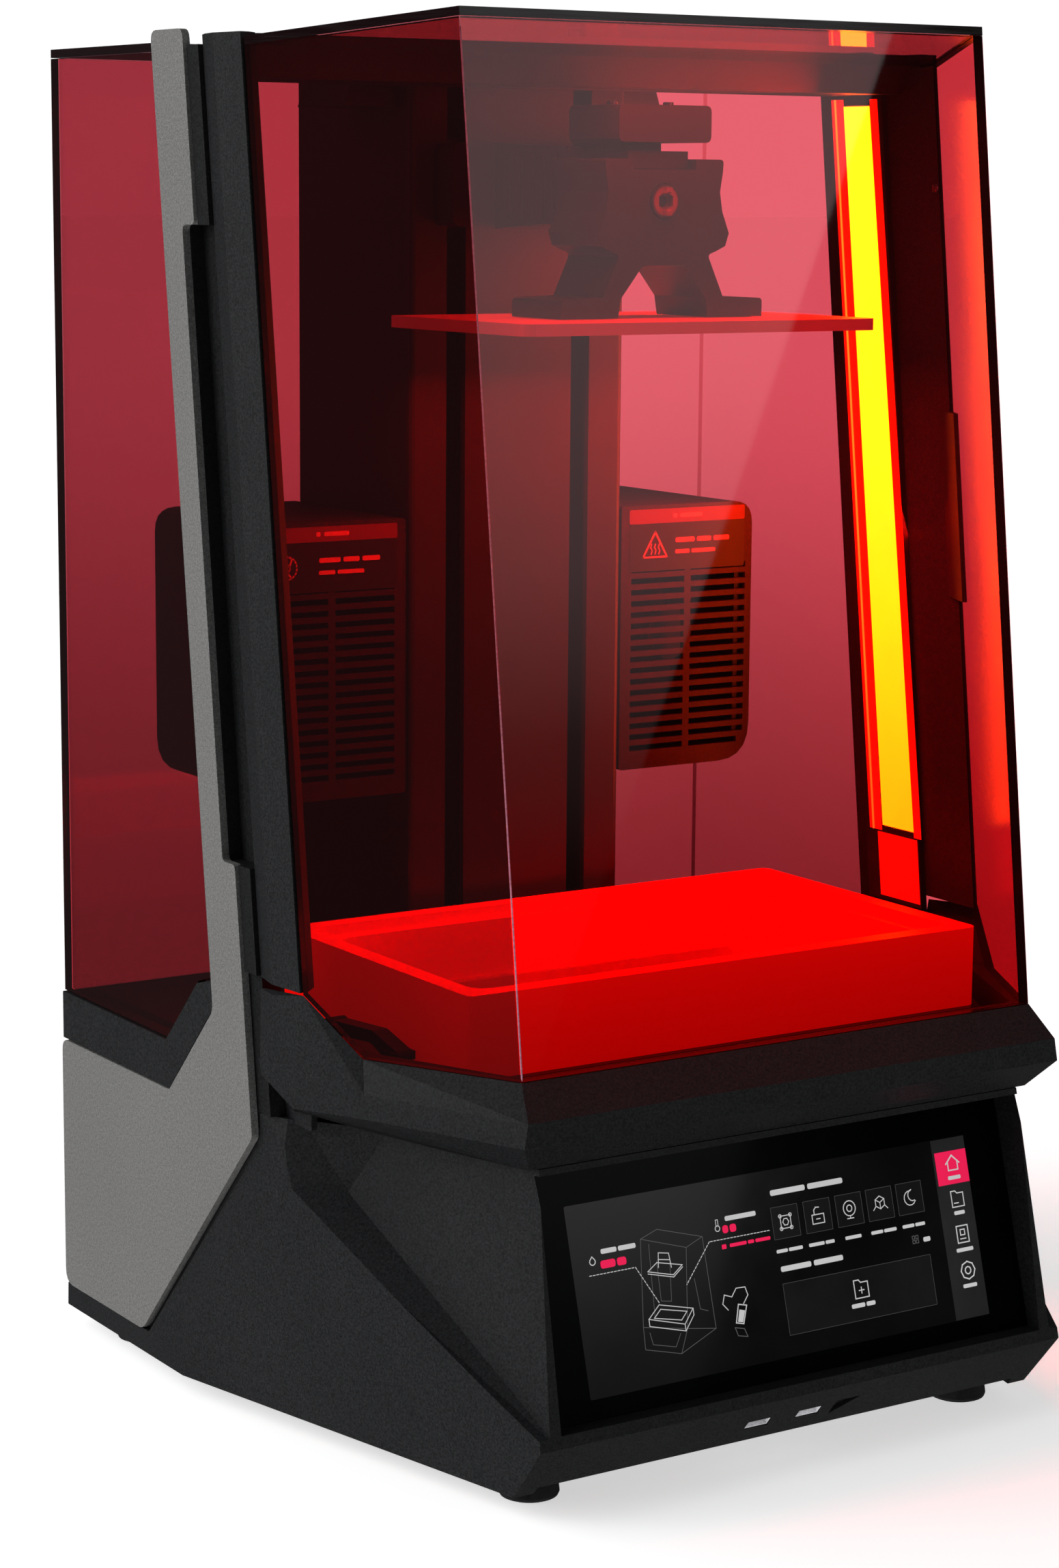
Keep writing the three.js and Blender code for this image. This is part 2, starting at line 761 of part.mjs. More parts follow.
function hoodFrame() {
  const [seatX, seatY] = glassBack(glass + 0.5);
  const toInner = (seatX - pillarInner) / sideDir.x;
  const flangeY = seatY - sideDir.y * toInner;
  // The right post carries a flange along the glass for the finger pad; the left one has none.
  const section = (innerFrontY) => [
    [pillarInner, postBackAtFloor],
    [pillarInner, innerFrontY],
    [seatX, seatY],
    [glassSide + 1.1, glassBackAtFloor + 1.2],
    [halfW, ridgeY],
    [halfW - 3.5, postBackAtFloor],
  ];
  const post = (innerFrontY) =>
    leanBack(prismZ(section(innerFrontY), shoulderTop + 0.6, hoodTopBack + 2));
  const padLength = 20;
  const padBottom = 381;
  const padTop = 474;
  const pad = leanBack(
    prismZ(
      [
        [pillarInner + 2, flangeY + 12],
        [pillarInner - sideDir.x * padLength - 2, flangeY - sideDir.y * padLength + 1.2],
        [pillarInner - sideDir.x * padLength, flangeY - sideDir.y * padLength],
        [pillarInner + 2, flangeY + 4.2],
      ],
      padBottom,
      padTop,
    ),
  );
  const frontTop = leaning(glassBackAtFloor, hoodTopBack) + 3;
  const backTop = leaning(postBackAtFloor, hoodTopBack) - 0.4;
  const beam = prismX(
    [
      [frontTop, hoodTopBack + 1.5],
      [backTop, hoodTopBack + 0.2],
      [backTop - 1.6, pillarTop - 15],
      [frontTop + 12, pillarTop - 15],
    ].reverse(),
    -pillarInner - 2,
    pillarInner + 2,
  );
  let solid = join(post(flangeY), pad, mirrorX(post(seatY + 6)), beam);
  // Nothing of the hood stands above its front slope or behind the hinge line.
  const above = prismX(
    [
      [-200, hoodTopBack + 2 + 0.115 * 190],
      [hingeY - 4, hoodTopBack + 2],
      [hingeY + 60, hoodTopBack - 4],
      [hingeY + 60, hoodTop + 90],
      [-200, hoodTop + 90],
    ].reverse(),
    -width,
    width,
  );
  const clearOfTopGlass = prismX(
    [
      [topBackY - 200, hoodTopBack - glass - 2 * gap + 200 * topSlope],
      [topBackY + gap, hoodTopBack - glass - 2 * gap - gap * topSlope],
      [topBackY + gap, hoodTop + 90],
      [topBackY - 200, hoodTop + 90],
    ].reverse(),
    -width,
    width,
  );
  const lugClear = [];
  const knuckles = [];
  const bores = [];
  for (const side of [-1, 1]) {
    const middle = side * hingeX;
    for (const end of [-1, 1]) {
      const x = middle + end * (knuckleHalf + 0.8 + lugWidth / 2);
      lugClear.push(cylinder(knuckleRadius + 0.8, lugWidth + 1.6, 32, "x", x, hingeY, hingeZ));
    }
    knuckles.push(cylinder(knuckleRadius, 2 * knuckleHalf, 32, "x", middle, hingeY, hingeZ));
    bores.push(cylinder(hingePinRadius + 0.3, 60, 24, "x", middle, hingeY, hingeZ));
  }
  solid = cut(solid, above, clearOfTopGlass, ...lugClear);
  return cut(join(solid, ...knuckles), ...bores);
}

// ---------------------------------------------------------------- Z axis

const towerHalf = towerWidth / 2;
const towerTop = rearGlassTop - 4;
const towerWall = 4;
const slotBottom = 205;

function towerColumn() {
  const shell = prismZ(
    [
      [-towerHalf, towerFront, 3],
      [towerHalf, towerFront, 3],
      [towerHalf, towerFront + towerDepth],
      [-towerHalf, towerFront + towerDepth],
    ],
    deckTop + gap,
    towerTop,
    3,
  );
  const hollow = box(
    -towerHalf + towerWall,
    towerHalf - towerWall,
    towerFront + towerWall,
    towerFront + towerDepth - towerWall,
    deckTop - 5,
    towerTop - towerWall,
  );
  const slots = [-1, 1].map((side) => {
    const x = (side * railSpacing) / 2;
    const half = slotWidth / 2;
    return box(x - half, x + half, towerFront - 3, towerFront + 8, slotBottom, towerTop - 8);
  });
  const cap = prismY(
    [
      [-towerHalf - 30, towerTop - 18],
      [towerHalf + 30, towerTop - 18],
      [towerHalf + 24, towerTop],
      [-towerHalf - 24, towerTop],
    ],
    towerFront + 12,
    towerFront + 58,
  );
  return cut(join(shell, cap), hollow, ...slots);
}

const railY = towerFront + 40;
const railFootHalf = 9;

function linearRail() {
  const x = railSpacing / 2;
  const bottom = deckTop + 12;
  const top = towerTop - 8;
  const footBack = towerFront + towerDepth - towerWall - gap;
  const foot = box(x - railFootHalf, x + railFootHalf, railY + 9, footBack, bottom, top);
  const head = box(x - 6, x + 6, railY, railY + 10, bottom, top);
  return join(foot, head);
}

function carriage() {
  const top = carriageBottom + carriageHeight;
  const inner = box(-52, 52, towerFront + 8, railY - 0.6, carriageBottom, top);
  const necks = [-1, 1].map((side) => {
    const x = (side * railSpacing) / 2;
    const half = slotWidth / 2 - 1;
    return box(x - half, x + half, towerFront - 6, towerFront + 9, carriageBottom + 2, top - 2);
  });
  const plate = prismY(
    [
      [-50, carriageBottom + 2, 5],
      [50, carriageBottom + 2, 5],
      [50, top - 2, 5],
      [-50, top - 2, 5],
    ],
    towerFront - 18,
    towerFront - 1,
    4,
  );
  const nut = cylinder(screwRadius + 7, 16, 32, "z", 0, screwY, carriageBottom - 6);
  const bore = cylinder(screwRadius + gap, 90, 32, "z", 0, screwY, carriageBottom + 15);
  const block = [-1, 1].map((side) => {
    const x = (side * railSpacing) / 2;
    const cheek = box(x - 13, x + 13, railY - 4, railY + 8, carriageBottom, top);
    return cut(cheek, box(x - 6.4, x + 6.4, railY - gap, railY + 20, carriageBottom - 5, top + 5));
  });
  return cut(join(inner, ...necks, plate, nut, ...block), bore);
}

const bracketFront = platformCentreY - bracketDepth / 2 - 2.2;
const bracketBack = bracketFront + bracketDepth;
const armBack = towerFront - 18 - gap;

const armHalf = 26;
const tongueBottom = 592; // the tongue that the bracket hangs on
const topBlockBottom = 604;
const knobZ = 577;

function platformArm() {
  const body = prismX(
    [
      [bracketBack + gap, carriageBottom + 5],
      [armBack, carriageBottom + 1],
      [armBack, carriageBottom + carriageHeight - 2],
      [bracketBack + gap, carriageBottom + carriageHeight - 4, 3],
    ],
    -armHalf,
    armHalf,
  );
  const ribs = [];
  for (let i = 0; i < 5; i++) {
    const y = bracketBack + 10 + i * 10;
    const top = carriageBottom + carriageHeight - 7;
    ribs.push(box(-armHalf - 2, armHalf + 2, y, y + 4, carriageBottom + 6, top));
  }
  const tongue = box(-17, 17, bracketFront + 6, bracketBack + 8, tongueBottom, tongueBottom + 8);
  const topBlock = prismY(
    [
      [-armHalf, topBlockBottom, 3],
      [armHalf, topBlockBottom, 3],
      [armHalf, topBlockBottom + 17, 3],
      [-armHalf, topBlockBottom + 17, 3],
    ],
    bracketFront,
    bracketBack,
    3,
  );
  const neck = box(-17, 17, bracketBack - 14, bracketBack, tongueBottom + 6, topBlockBottom + 2);
  const rise = box(-17, 17, bracketBack + gap, bracketBack + 10, tongueBottom - 4, topBlockBottom);
  return join(body, ...ribs, tongue, neck, topBlock, rise);
}

// Trestle bracket: two splayed legs on a flange, under a clamp block with finger grips.
function platformBracket() {
  const z0 = platformTop + gap;
  const right = [
    [57, z0],
    [57, z0 + 8.6, 2],
    [34, z0 + 9.6],
    [25, z0 + 29, 2],
    [29.5, z0 + 30.5, 2],
    [35, z0 + 33],
    [37, z0 + 39],
    [33, z0 + 49],
    [31.5, z0 + 58],
    [33, z0 + 67],
    [33.5, z0 + 73, 2],
  ];
  const left = right.map(([x, z, r]) => [-x, z, r]).reverse();
  const body = prismY([...right, ...left], bracketFront, bracketBack, 4);
  const arch = prismY(
    [
      [-26, z0 - 3],
      [26, z0 - 3],
      [24, z0 + 9],
      [12, z0 + 24, 4],
      [-12, z0 + 24, 4],
      [-24, z0 + 9],
    ],
    bracketFront - 3,
    bracketBack + 3,
    4,
  );
  const slotLow = tongueBottom - gap;
  const slotHigh = topBlockBottom + 1;
  const tongueSlot = box(-17.5, 17.5, bracketFront - 3, bracketBack + 3, slotLow, slotHigh);
  const boltHole = cylinder(8.4, 16, 28, "y", 0, bracketFront + 6, knobZ);
  return cut(body, arch, tongueSlot, boltHole);
}

function lockKnob() {
  const disc = cylinder(8, 10, 28, "y", 0, bracketFront + 4, knobZ);
  const bar = box(-1.6, 1.6, bracketFront - 4, bracketFront + 2, knobZ - 6.6, knobZ + 6.6);
  const socket = cylinder(4.6, 6, 6, "y", 0, bracketFront - 1, knobZ);
  return cut(join(disc, bar), socket);
}

function buildPlatform() {
  const half = platformWidth / 2;
  const y0 = platformCentreY - platformDepth / 2;
  const y1 = platformCentreY + platformDepth / 2;
  return prismZ(
    [
      [-half, y0, 9],
      [half, y0, 9],
      [half, y1, 4],
      [-half, y1, 4],
    ],
    platformTop - platformThickness,
    platformTop,
    5,
  );
}

const screwBottom = 130;
const screwTop = towerTop - towerWall - 2;

function leadScrew() {
  const middle = (screwTop + screwBottom) / 2;
  const shaft = cylinder(screwRadius, screwTop - screwBottom, 32, "z", 0, screwY, middle);
  const coupling = cylinder(11, 26, 32, "z", 0, screwY, screwBottom + 13);
  const key = box(screwRadius + 2, 12.5, screwY - 2, screwY + 2, screwBottom + 4, screwBottom + 22);
  return join(shaft, coupling, key);
}

function zMotor() {
  const half = 28;
  const body = prismZ(
    [
      [-half, screwY - half, 6],
      [half, screwY - half, 6],
      [half, screwY + half, 6],
      [-half, screwY + half, 6],
    ],
    62,
    118,
    3,
  );
  const boss = cylinder(19, 3, 32, "z", 0, screwY, 119);
  const shaft = cylinder(4, 10, 20, "z", 0, screwY, 124.4);
  return join(body, boss, shaft);
}

function upperBearing() {
  const z = screwTop - 15;
  const half = railSpacing / 2 - railFootHalf - 1.7;
  const block = box(-half, half, screwY - 14, towerFront + towerDepth - towerWall - gap, z, z + 14);
  const bore = cylinder(screwRadius + gap, 30, 32, "z", 0, screwY, z + 7);
  return cut(block, bore);
}

// ---------------------------------------------------------------- vat

const vatBottom = seatTop;
const vatTop = vatBottom + vatHeight;

function vatFrame() {
  const half = vatWidth / 2;
  const y0 = vatCentreY - vatDepth / 2;
  const y1 = vatCentreY + vatDepth / 2;
  const rounded = (inset, radius) => [
    [-half + inset, y0 + inset, radius],
    [half - inset, y0 + inset, radius],
    [half - inset, y1 - inset, radius],
    [-half + inset, y1 - inset, radius],
  ];
  const body = prismZ(rounded(0, 5), vatBottom, vatTop, 4);
  const rim = prismZ(rounded(vatWall - 8, 10), vatTop - 5, vatTop + 5, 4);
  const well = prismZ(rounded(vatWall, 14), vatBottom + 5, vatTop + 5, 4);
  const opening = box(-windowHalf, windowHalf, windowFront, windowBack, vatBottom - 5, vatBottom + 10);
  return cut(body, rim, well, opening);
}

function vatFilm() {
  const h = windowHalf + 5;
  return box(-h, h, windowFront - 5, windowBack + 5, vatBottom + 5 + gap, vatBottom + 6.2);
}

const clampX = vatWidth / 2 + 9;
const clampPivotY = -18;
const clampLength = 64;

// Lever that lies along the vat's side: a pivot barrel, a bowed bar and a finger end.
function vatClamp() {
  const z = seatTop + 1.2;
  const barrel = cylinder(4.4, 9, 24, "x", clampX, clampPivotY, z + 4.4);
  const arm = prismX(
    [
      [clampPivotY, z + 1],
      [clampPivotY, z + 8],
      [clampPivotY - 40, z + 11, 10],
      [clampPivotY - clampLength, z + 5, 3],
      [clampPivotY - clampLength + 2, z, 2],
      [clampPivotY - clampLength + 12, z],
      [clampPivotY - 38, z + 5, 8],
    ],
    clampX - 4,
    clampX + 4,
    4,
  );
  const fingerFront = clampPivotY - clampLength + 2;
  const finger = box(clampX - 6, clampX + 6, fingerFront, fingerFront + 10, z + 1, z + 5);
  return join(barrel, arm, finger);
}

// ---------------------------------------------------------------- heater and filter boxes

const boxInner = towerHalf + 1.3;
const boxOuter = boxInner + boxWidth;
const boxFront = towerFront + 1.5;
const boxTop = boxBottom + boxHeight;
const grilleThickness = 3;

const boxOutline = [
  [boxInner, boxBottom, 2],
  [boxOuter, boxBottom, 20],
  [boxOuter, boxTop, 12],
  [boxInner, boxTop, 2],
];

function sideBox() {
  const body = prismY(boxOutline, boxFront + grilleThickness + gap, boxFront + boxDepth, 5);
  const hollow = box(
    boxInner + boxWall,
    boxOuter - boxWall - 6,
    boxFront - 5,
    boxFront + boxDepth - boxWall,
    boxBottom + boxWall + 6,
    boxTop - boxWall - 3,
  );
  return cut(body, hollow);
}

const slatCount = 17;
const slatPitch = 5.8;

function grille() {
  const plate = prismY(boxOutline, boxFront, boxFront + grilleThickness, 5);
  const slots = [];
  for (let i = 0; i < slatCount; i++) {
    const z = boxBottom + 9.5 + i * slatPitch;
    const shorten = i === 0 ? 4 : 0;
    slots.push(box(boxInner + 6.5, boxInner + 40, boxFront - 2, boxFront + 6, z, z + 3));
    slots.push(box(boxInner + 44, boxInner + 79 - shorten, boxFront - 2, boxFront + 6, z, z + 3));
  }
  return cut(plate, ...slots);
}

const fanX = boxInner + boxWidth / 2 - 2;
const fanY = boxFront + 18;
const fanZ = boxBottom + boxHeight / 2;

// Fan rotor on the Y axis through the origin: a hub and pitched blades.
function fanRotor() {
  let rotor = cylinder(14, 12, 24, "y", 0, 0, 0);
  const bladeCount = 7;
  for (let i = 0; i < bladeCount; i++) {
    const blade = new THREE.BoxGeometry(fanRadius - 12, 1.6, 15);
    blade.rotateX(0.6);
    blade.translate((fanRadius + 12) / 2, 0, 0);
    blade.rotateY((i * 2 * Math.PI) / bladeCount);
    rotor = join(rotor, blade);
  }
  return rotor;
}

// ---------------------------------------------------------------- light bar

const lightBottom = 218;
const lightTop = 630;
const lightFrontAtFloor = -59.5;
const lightWidth = 43;
const lightThickness = 3.2;
const diffuserTop = { z: 625, y: 26, width: 20.4 };
const diffuserBottom = { z: 257, y: -25.4, width: 25 };

// Bar that widens downwards, between x0 and x1. GROW makes it larger all round.
function diffuserForm(x0, x1, grow) {
  const points = [];
  for (const [end, out] of [[diffuserTop, grow], [diffuserBottom, -grow]]) {
    for (const x of [x0, x1]) {
      points.push([x, end.y - grow, end.z + out]);
      points.push([x, end.y + end.width + grow, end.z + out]);
    }
  }
  return hull(points);
}

function lightHousing() {
  const x1 = pillarInner - gap;
  const x0 = x1 - lightThickness;
  const y0 = lightFrontAtFloor;
  const channel = leanBack(box(x0, x1, y0, y0 + lightWidth, lightBottom, lightTop));
  return cut(channel, diffuserForm(x0 - 2, x1 - 1, gap));
}

function lightDiffuser() {
  const x1 = pillarInner - gap - 1 - gap;
  return diffuserForm(x1 - 2.2, x1, 0);
}

// ---------------------------------------------------------------- control panel

function touchPanel() {
  const half = screenWidth / 2;
  const points = [];
  for (const z of [screenBottom, screenTop]) {
    points.push([half, screenFaceY(z), z]);
    points.push([half, screenFaceY(z) + screenGlass, z]);
  }
  return symmetricHull(points);
}

function displayModule() {
  const half = 115;
  const points = [];
  for (const z of [screenBottom + 8, screenTop - 8]) {
    points.push([half, screenFaceY(z) + screenGlass + gap, z]);
    points.push([half, screenFaceY(z) + screenGlass + gap + 8, z]);
  }
  return symmetricHull(points);
}

function usbSocket() {
  const { width: w, height: h, depth: d, shell } = usb;
  const body = box(-w / 2, w / 2, 0.6, d, -h / 2, h / 2);
  const mouth = box(-w / 2 + shell, w / 2 - shell, -1, d - 2, -h / 2 + shell, h / 2 - shell);
  const tongue = box(-w / 2 + 2, w / 2 - 2, 2.5, d - 1, 0.3, 1.9);
  return join(cut(body, mouth), tongue);
}

// ---------------------------------------------------------------- inside the casing

function mainsInlet() {
  const { x, z, width: w, height: h, depth: d } = inlet;
  const body = box(x - w / 2, x + w / 2, rear - d - 2, rear - 0.4, z - h / 2, z + h / 2);
  const mouth = box(x - w / 2 + 2, x + w / 2 - 2, rear - d, rear + 2, z - h / 2 + 2, z + h / 2 - 2);
  const pins = [-7, 0, 7].map((dx) => {
    const dz = dx === 0 ? 3 : -2;
    return box(x + dx - 1, x + dx + 1, rear - d - 1, rear - 3, z + dz - 2, z + dz + 2);
  });
  return join(cut(body, mouth), ...pins);
}

// Rocker on an X axis through its centre, with two faces that meet at a shallow V.
function rockerSwitch() {
  const { width: w, height: h, depth: d } = rocker;
  const corners = [
    [-d, -h / 2 + 3],
    [-1.2, -h / 2 + 1],
    [-3.4, 0],
    [-1.2, h / 2 - 1],
    [-d, h / 2 - 3],
  ];
  return prismX(corners, -w / 2 + 1, w / 2 - 1);
}

const projector = { x0: -60, x1: 60, y0: -110, y1: 40, z0: 18, z1: 118 };

function projectorBody() {
  const { x0, x1, y0, y1, z0, z1 } = projector;
  const body = prismZ(
    [
      [x0, y0, 6],
      [x1, y0, 6],
      [x1, y1, 6],
      [x0, y1, 6],
    ],
    z0,
    z1,
    3,
  );
  const port = cylinder(25, 12, 40, "z", 0, vatCentreY, z1);
  const fins = [];
  for (let i = 0; i < 7; i++) {
    const y = y0 + 15 + i * 18;
    fins.push(box(x1 - 6, x1 + 2, y, y + 8, z0 + 10, z1 - 10));
  }
  return cut(body, port, ...fins);
}

function projectorLens() {
  const z0 = projector.z1 - 6 + gap;
  const profile = [
    [0, z0],
    [24, z0],
    [24, z0 + 22],
    [20, z0 + 26],
    [18, z0 + 26],
    [12, z0 + 22],
    [0, z0 + 20],
  ].map(([r, z]) => new THREE.Vector2(r, z));
  return new THREE.LatheGeometry(profile, 40).rotateX(Math.PI / 2).translate(0, vatCentreY, 0);
}

function mainboard() {
  const z = footHeight + 12;
  const board = box(-178, -78, 20, 165, z, z + 1.8);
  const chips = [
    box(-150, -128, 60, 82, z + 1, z + 5),
    box(-115, -95, 110, 130, z + 1, z + 6),
    box(-172, -160, 100, 155, z + 1, z + 13),
    box(-110, -84, 30, 42, z + 1, z + 12),
    box(-150, -120, 120, 128, z + 1, z + 9),
  ];
  return join(board, ...chips);
}

function powerSupply() {
  const z0 = footHeight + 6;
  const body = box(74, 176, 0, 150, z0, z0 + 34);
  const vents = [];
  for (let i = 0; i < 6; i++) {
    vents.push(box(84, 166, 20 + i * 20, 28 + i * 20, z0 + 31, z0 + 40));
  }
  return cut(body, ...vents);
}

// ---------------------------------------------------------------- assembly

add("base_shell", "casing", casing());
add("base_plate", "interior", basePlate());
for (const [place, [x, y]] of Object.entries(footPlaces)) {
  add("foot_" + place, "rubber", foot()).position.set(x, y, 0);
}
add("front_collar", "casing", frontCollar());
add("rear_collar", "casing", rearCollar());
add("deck_plate", "interior", deckPlate());
add("projection_window", "acrylic", projectionWindow());
addPair("side_panel", "silver", sidePanel());
addPair("pillar", "casing", pillar());
add("top_bridge", "casing", topBridge());
addPair("hinge_pin", "steel", hingePin());
addPair("rear_glass", "acrylic", rearGlassSide());
add("rear_glass_back", "acrylic", rearGlassBack());
add("rear_glass_top", "acrylic", rearGlassTopPanel());

add("tower_column", "interior", towerColumn());
addPair("linear_rail", "steel", linearRail());
add("upper_bearing", "aluminium", upperBearing());
add("z_motor", "interior", zMotor());
add("lead_screw", "steel", leadScrew());
addPair("side_box", "interior", sideBox());
addPair("box_grille", "interior", grille());
add("light_housing", "interior", lightHousing());
add("light_diffuser", "light", lightDiffuser());

add("touch_panel", "glassBlack", touchPanel());
add("display_module", "interior", displayModule());
usbCentres.forEach((x, i) => add("usb_socket_" + (i + 1), "steel", ontoBevel(usbSocket(), x)));
add("mains_inlet", "casing", mainsInlet());
add("power_switch", "casing", rockerSwitch()).position.set(rocker.x, rear - 0.5, rocker.z);
add("projector_body", "interior", projectorBody());
add("projector_lens", "glassBlack", projectorLens());
add("mainboard", "board", mainboard());
add("power_supply", "aluminium", powerSupply());

const hood = new THREE.Group();
printer.add(hood);
add("hood_frame", "casing", hoodFrame(), hood);
add("hood_glass_front", "acrylic", hoodFrontGlass(), hood);
addPair("hood_glass", "acrylic", hoodSideGlass(), hood);
add("hood_glass_top", "acrylic", hoodTopGlass(), hood);

const lift = new THREE.Group();
printer.add(lift);
add("carriage", "interior", carriage(), lift);
add("platform_arm", "interior", platformArm(), lift);
add("platform_bracket", "interior", platformBracket(), lift);
add("build_platform", "aluminium", buildPlatform(), lift);
add("lock_knob", "steel", lockKnob(), lift);

add("vat_frame", "aluminium", vatFrame());
add("vat_film", "acrylic", vatFilm());
addPair("vat_clamp", "casing", vatClamp());
for (const [name, side] of [["heater_fan", 1], ["filter_fan", -1]]) {
  add(name, "casing", fanRotor()).position.set(side * fanX, fanY, fanZ);
}

export default printer;
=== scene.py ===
"""Looks of the desktop resin printer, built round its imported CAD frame.

Metres, +X right, +Y back, +Z up. Small pieces are laid out in millimetres on boards of their own.
"""

import json
import math

import bmesh
import bpy
from mathutils import Matrix, Vector


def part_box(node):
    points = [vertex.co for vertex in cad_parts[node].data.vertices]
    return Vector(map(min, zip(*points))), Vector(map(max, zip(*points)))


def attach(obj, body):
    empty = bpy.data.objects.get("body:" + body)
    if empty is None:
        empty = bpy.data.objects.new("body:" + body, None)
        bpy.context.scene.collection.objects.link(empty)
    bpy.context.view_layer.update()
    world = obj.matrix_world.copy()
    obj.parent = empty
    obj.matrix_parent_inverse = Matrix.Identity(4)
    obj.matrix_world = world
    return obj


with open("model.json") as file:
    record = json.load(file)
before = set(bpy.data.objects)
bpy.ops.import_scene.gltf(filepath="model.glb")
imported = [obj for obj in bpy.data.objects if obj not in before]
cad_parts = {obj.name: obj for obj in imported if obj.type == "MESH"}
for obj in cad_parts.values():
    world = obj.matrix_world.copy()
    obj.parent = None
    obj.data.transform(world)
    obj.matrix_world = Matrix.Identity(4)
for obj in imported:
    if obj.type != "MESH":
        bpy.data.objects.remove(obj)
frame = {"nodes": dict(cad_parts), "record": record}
nodes = frame["nodes"]
scene = bpy.context.scene
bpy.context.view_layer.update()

MM = 0.001
WHITE = (1.0, 1.0, 1.0)
# Procedural noise lies mostly between these two values.
NOISE_LOW, NOISE_HIGH = 0.3, 0.7
# Reflection of clear plastic seen straight on.
PLASTIC_MIRROR = 0.04


def scaled(colour, factor):
    return tuple(channel * factor for channel in colour)


def box_mm(name):
    """Lowest and highest corner of a CAD piece, in millimetres."""
    return (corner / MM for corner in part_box(name))


# ---------------------------------------------------------------- node helpers


class Shader:
    """A material under construction: short calls that add nodes and link them."""

    def __init__(self, name):
        self.material = bpy.data.materials.new(name)
        self.material.use_nodes = True
        self.tree = self.material.node_tree
        self.bsdf = self.tree.nodes["Principled BSDF"]
        self.output = self.tree.nodes["Material Output"]
        self.coords = self.tree.nodes.new("ShaderNodeTexCoord").outputs["Object"]

    def put(self, socket, value):
        if isinstance(value, bpy.types.NodeSocket):
            self.tree.links.new(value, socket)
        elif isinstance(value, (tuple, list)) and len(value) == 3 and socket.type == "RGBA":
            socket.default_value = (*value, 1.0)
        else:
            socket.default_value = value

    def set(self, **values):
        for key, value in values.items():
            self.put(self.bsdf.inputs[key.replace("_", " ")], value)
        return self

    def noise(self, scale, detail=3.0, roughness=0.55, stretch=None):
        node = self.tree.nodes.new("ShaderNodeTexNoise")
        node.inputs["Scale"].default_value = scale
        node.inputs["Detail"].default_value = detail
        node.inputs["Roughness"].default_value = roughness
        self.tree.links.new(self.stretched(stretch), node.inputs["Vector"])
        return node.outputs["Fac"]

    def cells(self, scale):
        node = self.tree.nodes.new("ShaderNodeTexVoronoi")
        node.inputs["Scale"].default_value = scale
        self.tree.links.new(self.coords, node.inputs["Vector"])
        return node.outputs["Distance"]

    def stretched(self, stretch):
        """Object coordinates, with each axis multiplied where a stretch is given."""
        if stretch is None:
            return self.coords
        node = self.tree.nodes.new("ShaderNodeMapping")
        node.inputs["Scale"].default_value = stretch
        self.tree.links.new(self.coords, node.inputs["Vector"])
        return node.outputs["Vector"]

    def ramp(self, value, stops, smooth=False):
        node = self.tree.nodes.new("ShaderNodeValToRGB")
        node.color_ramp.interpolation = "EASE" if smooth else "LINEAR"
        elements = node.color_ramp.elements
        while len(elements) < len(stops):
            elements.new(0.5)
        for element, (place, colour) in zip(elements, stops):
            element.position = place
            element.color = (*colour, 1.0)
        self.tree.links.new(value, node.inputs["Fac"])
        return node.outputs["Color"]

    def patchy(self, noise, low, high):
        """A colour that drifts from one tone to another with the noise."""
        return self.ramp(noise, [(NOISE_LOW, low), (NOISE_HIGH, high)])

    def spread(self, noise, low, high):
        """A value that drifts from one level to another with the noise."""
        return self.grey(noise, low, high, NOISE_LOW, NOISE_HIGH)

    def grey(self, value, low, high, start, end):
        """The value, remapped from start..end to low..high."""
        node = self.tree.nodes.new("ShaderNodeMapRange")
        node.inputs["From Min"].default_value = start
        node.inputs["From Max"].default_value = end
        node.inputs["To Min"].default_value = low
        node.inputs["To Max"].default_value = high
        self.tree.links.new(value, node.inputs["Value"])
        return node.outputs["Result"]

    def axis(self, name):
        node = self.tree.nodes.new("ShaderNodeSeparateXYZ")
        self.tree.links.new(self.coords, node.inputs["Vector"])
        return node.outputs[name]

    def math(self, operation, *values):
        node = self.tree.nodes.new("ShaderNodeMath")
        node.operation = operation
        for socket, value in zip(node.inputs, values):
            self.put(socket, value)
        return node.outputs["Value"]

    def times(self, a, b):
        """Two colours multiplied."""
        node = self.tree.nodes.new("ShaderNodeMix")
        node.data_type = "RGBA"
        node.blend_type = "MULTIPLY"
        node.inputs["Factor"].default_value = 1.0
        self.put(node.inputs["A"], a)
        self.put(node.inputs["B"], b)
        return node.outputs["Result"]

    def bump(self, height, strength, distance):
        node = self.tree.nodes.new("ShaderNodeBump")
        node.inputs["Strength"].default_value = strength
        node.inputs["Distance"].default_value = distance
        self.tree.links.new(height, node.inputs["Height"])
        previous = self.bsdf.inputs["Normal"].links
        if previous:
            self.tree.links.new(previous[0].from_socket, node.inputs["Normal"])
        self.tree.links.new(node.outputs["Normal"], self.bsdf.inputs["Normal"])
        return self


# ---------------------------------------------------------------- materials

# Heights between which a sheet's tint darkens towards the bottom as painted shade, and how milky the sheets
# are.
TINT_LOW, TINT_HIGH = 0.17, 0.52
SHEET_HAZE = 0.012
KNOB_END_RADIUS = 0.008


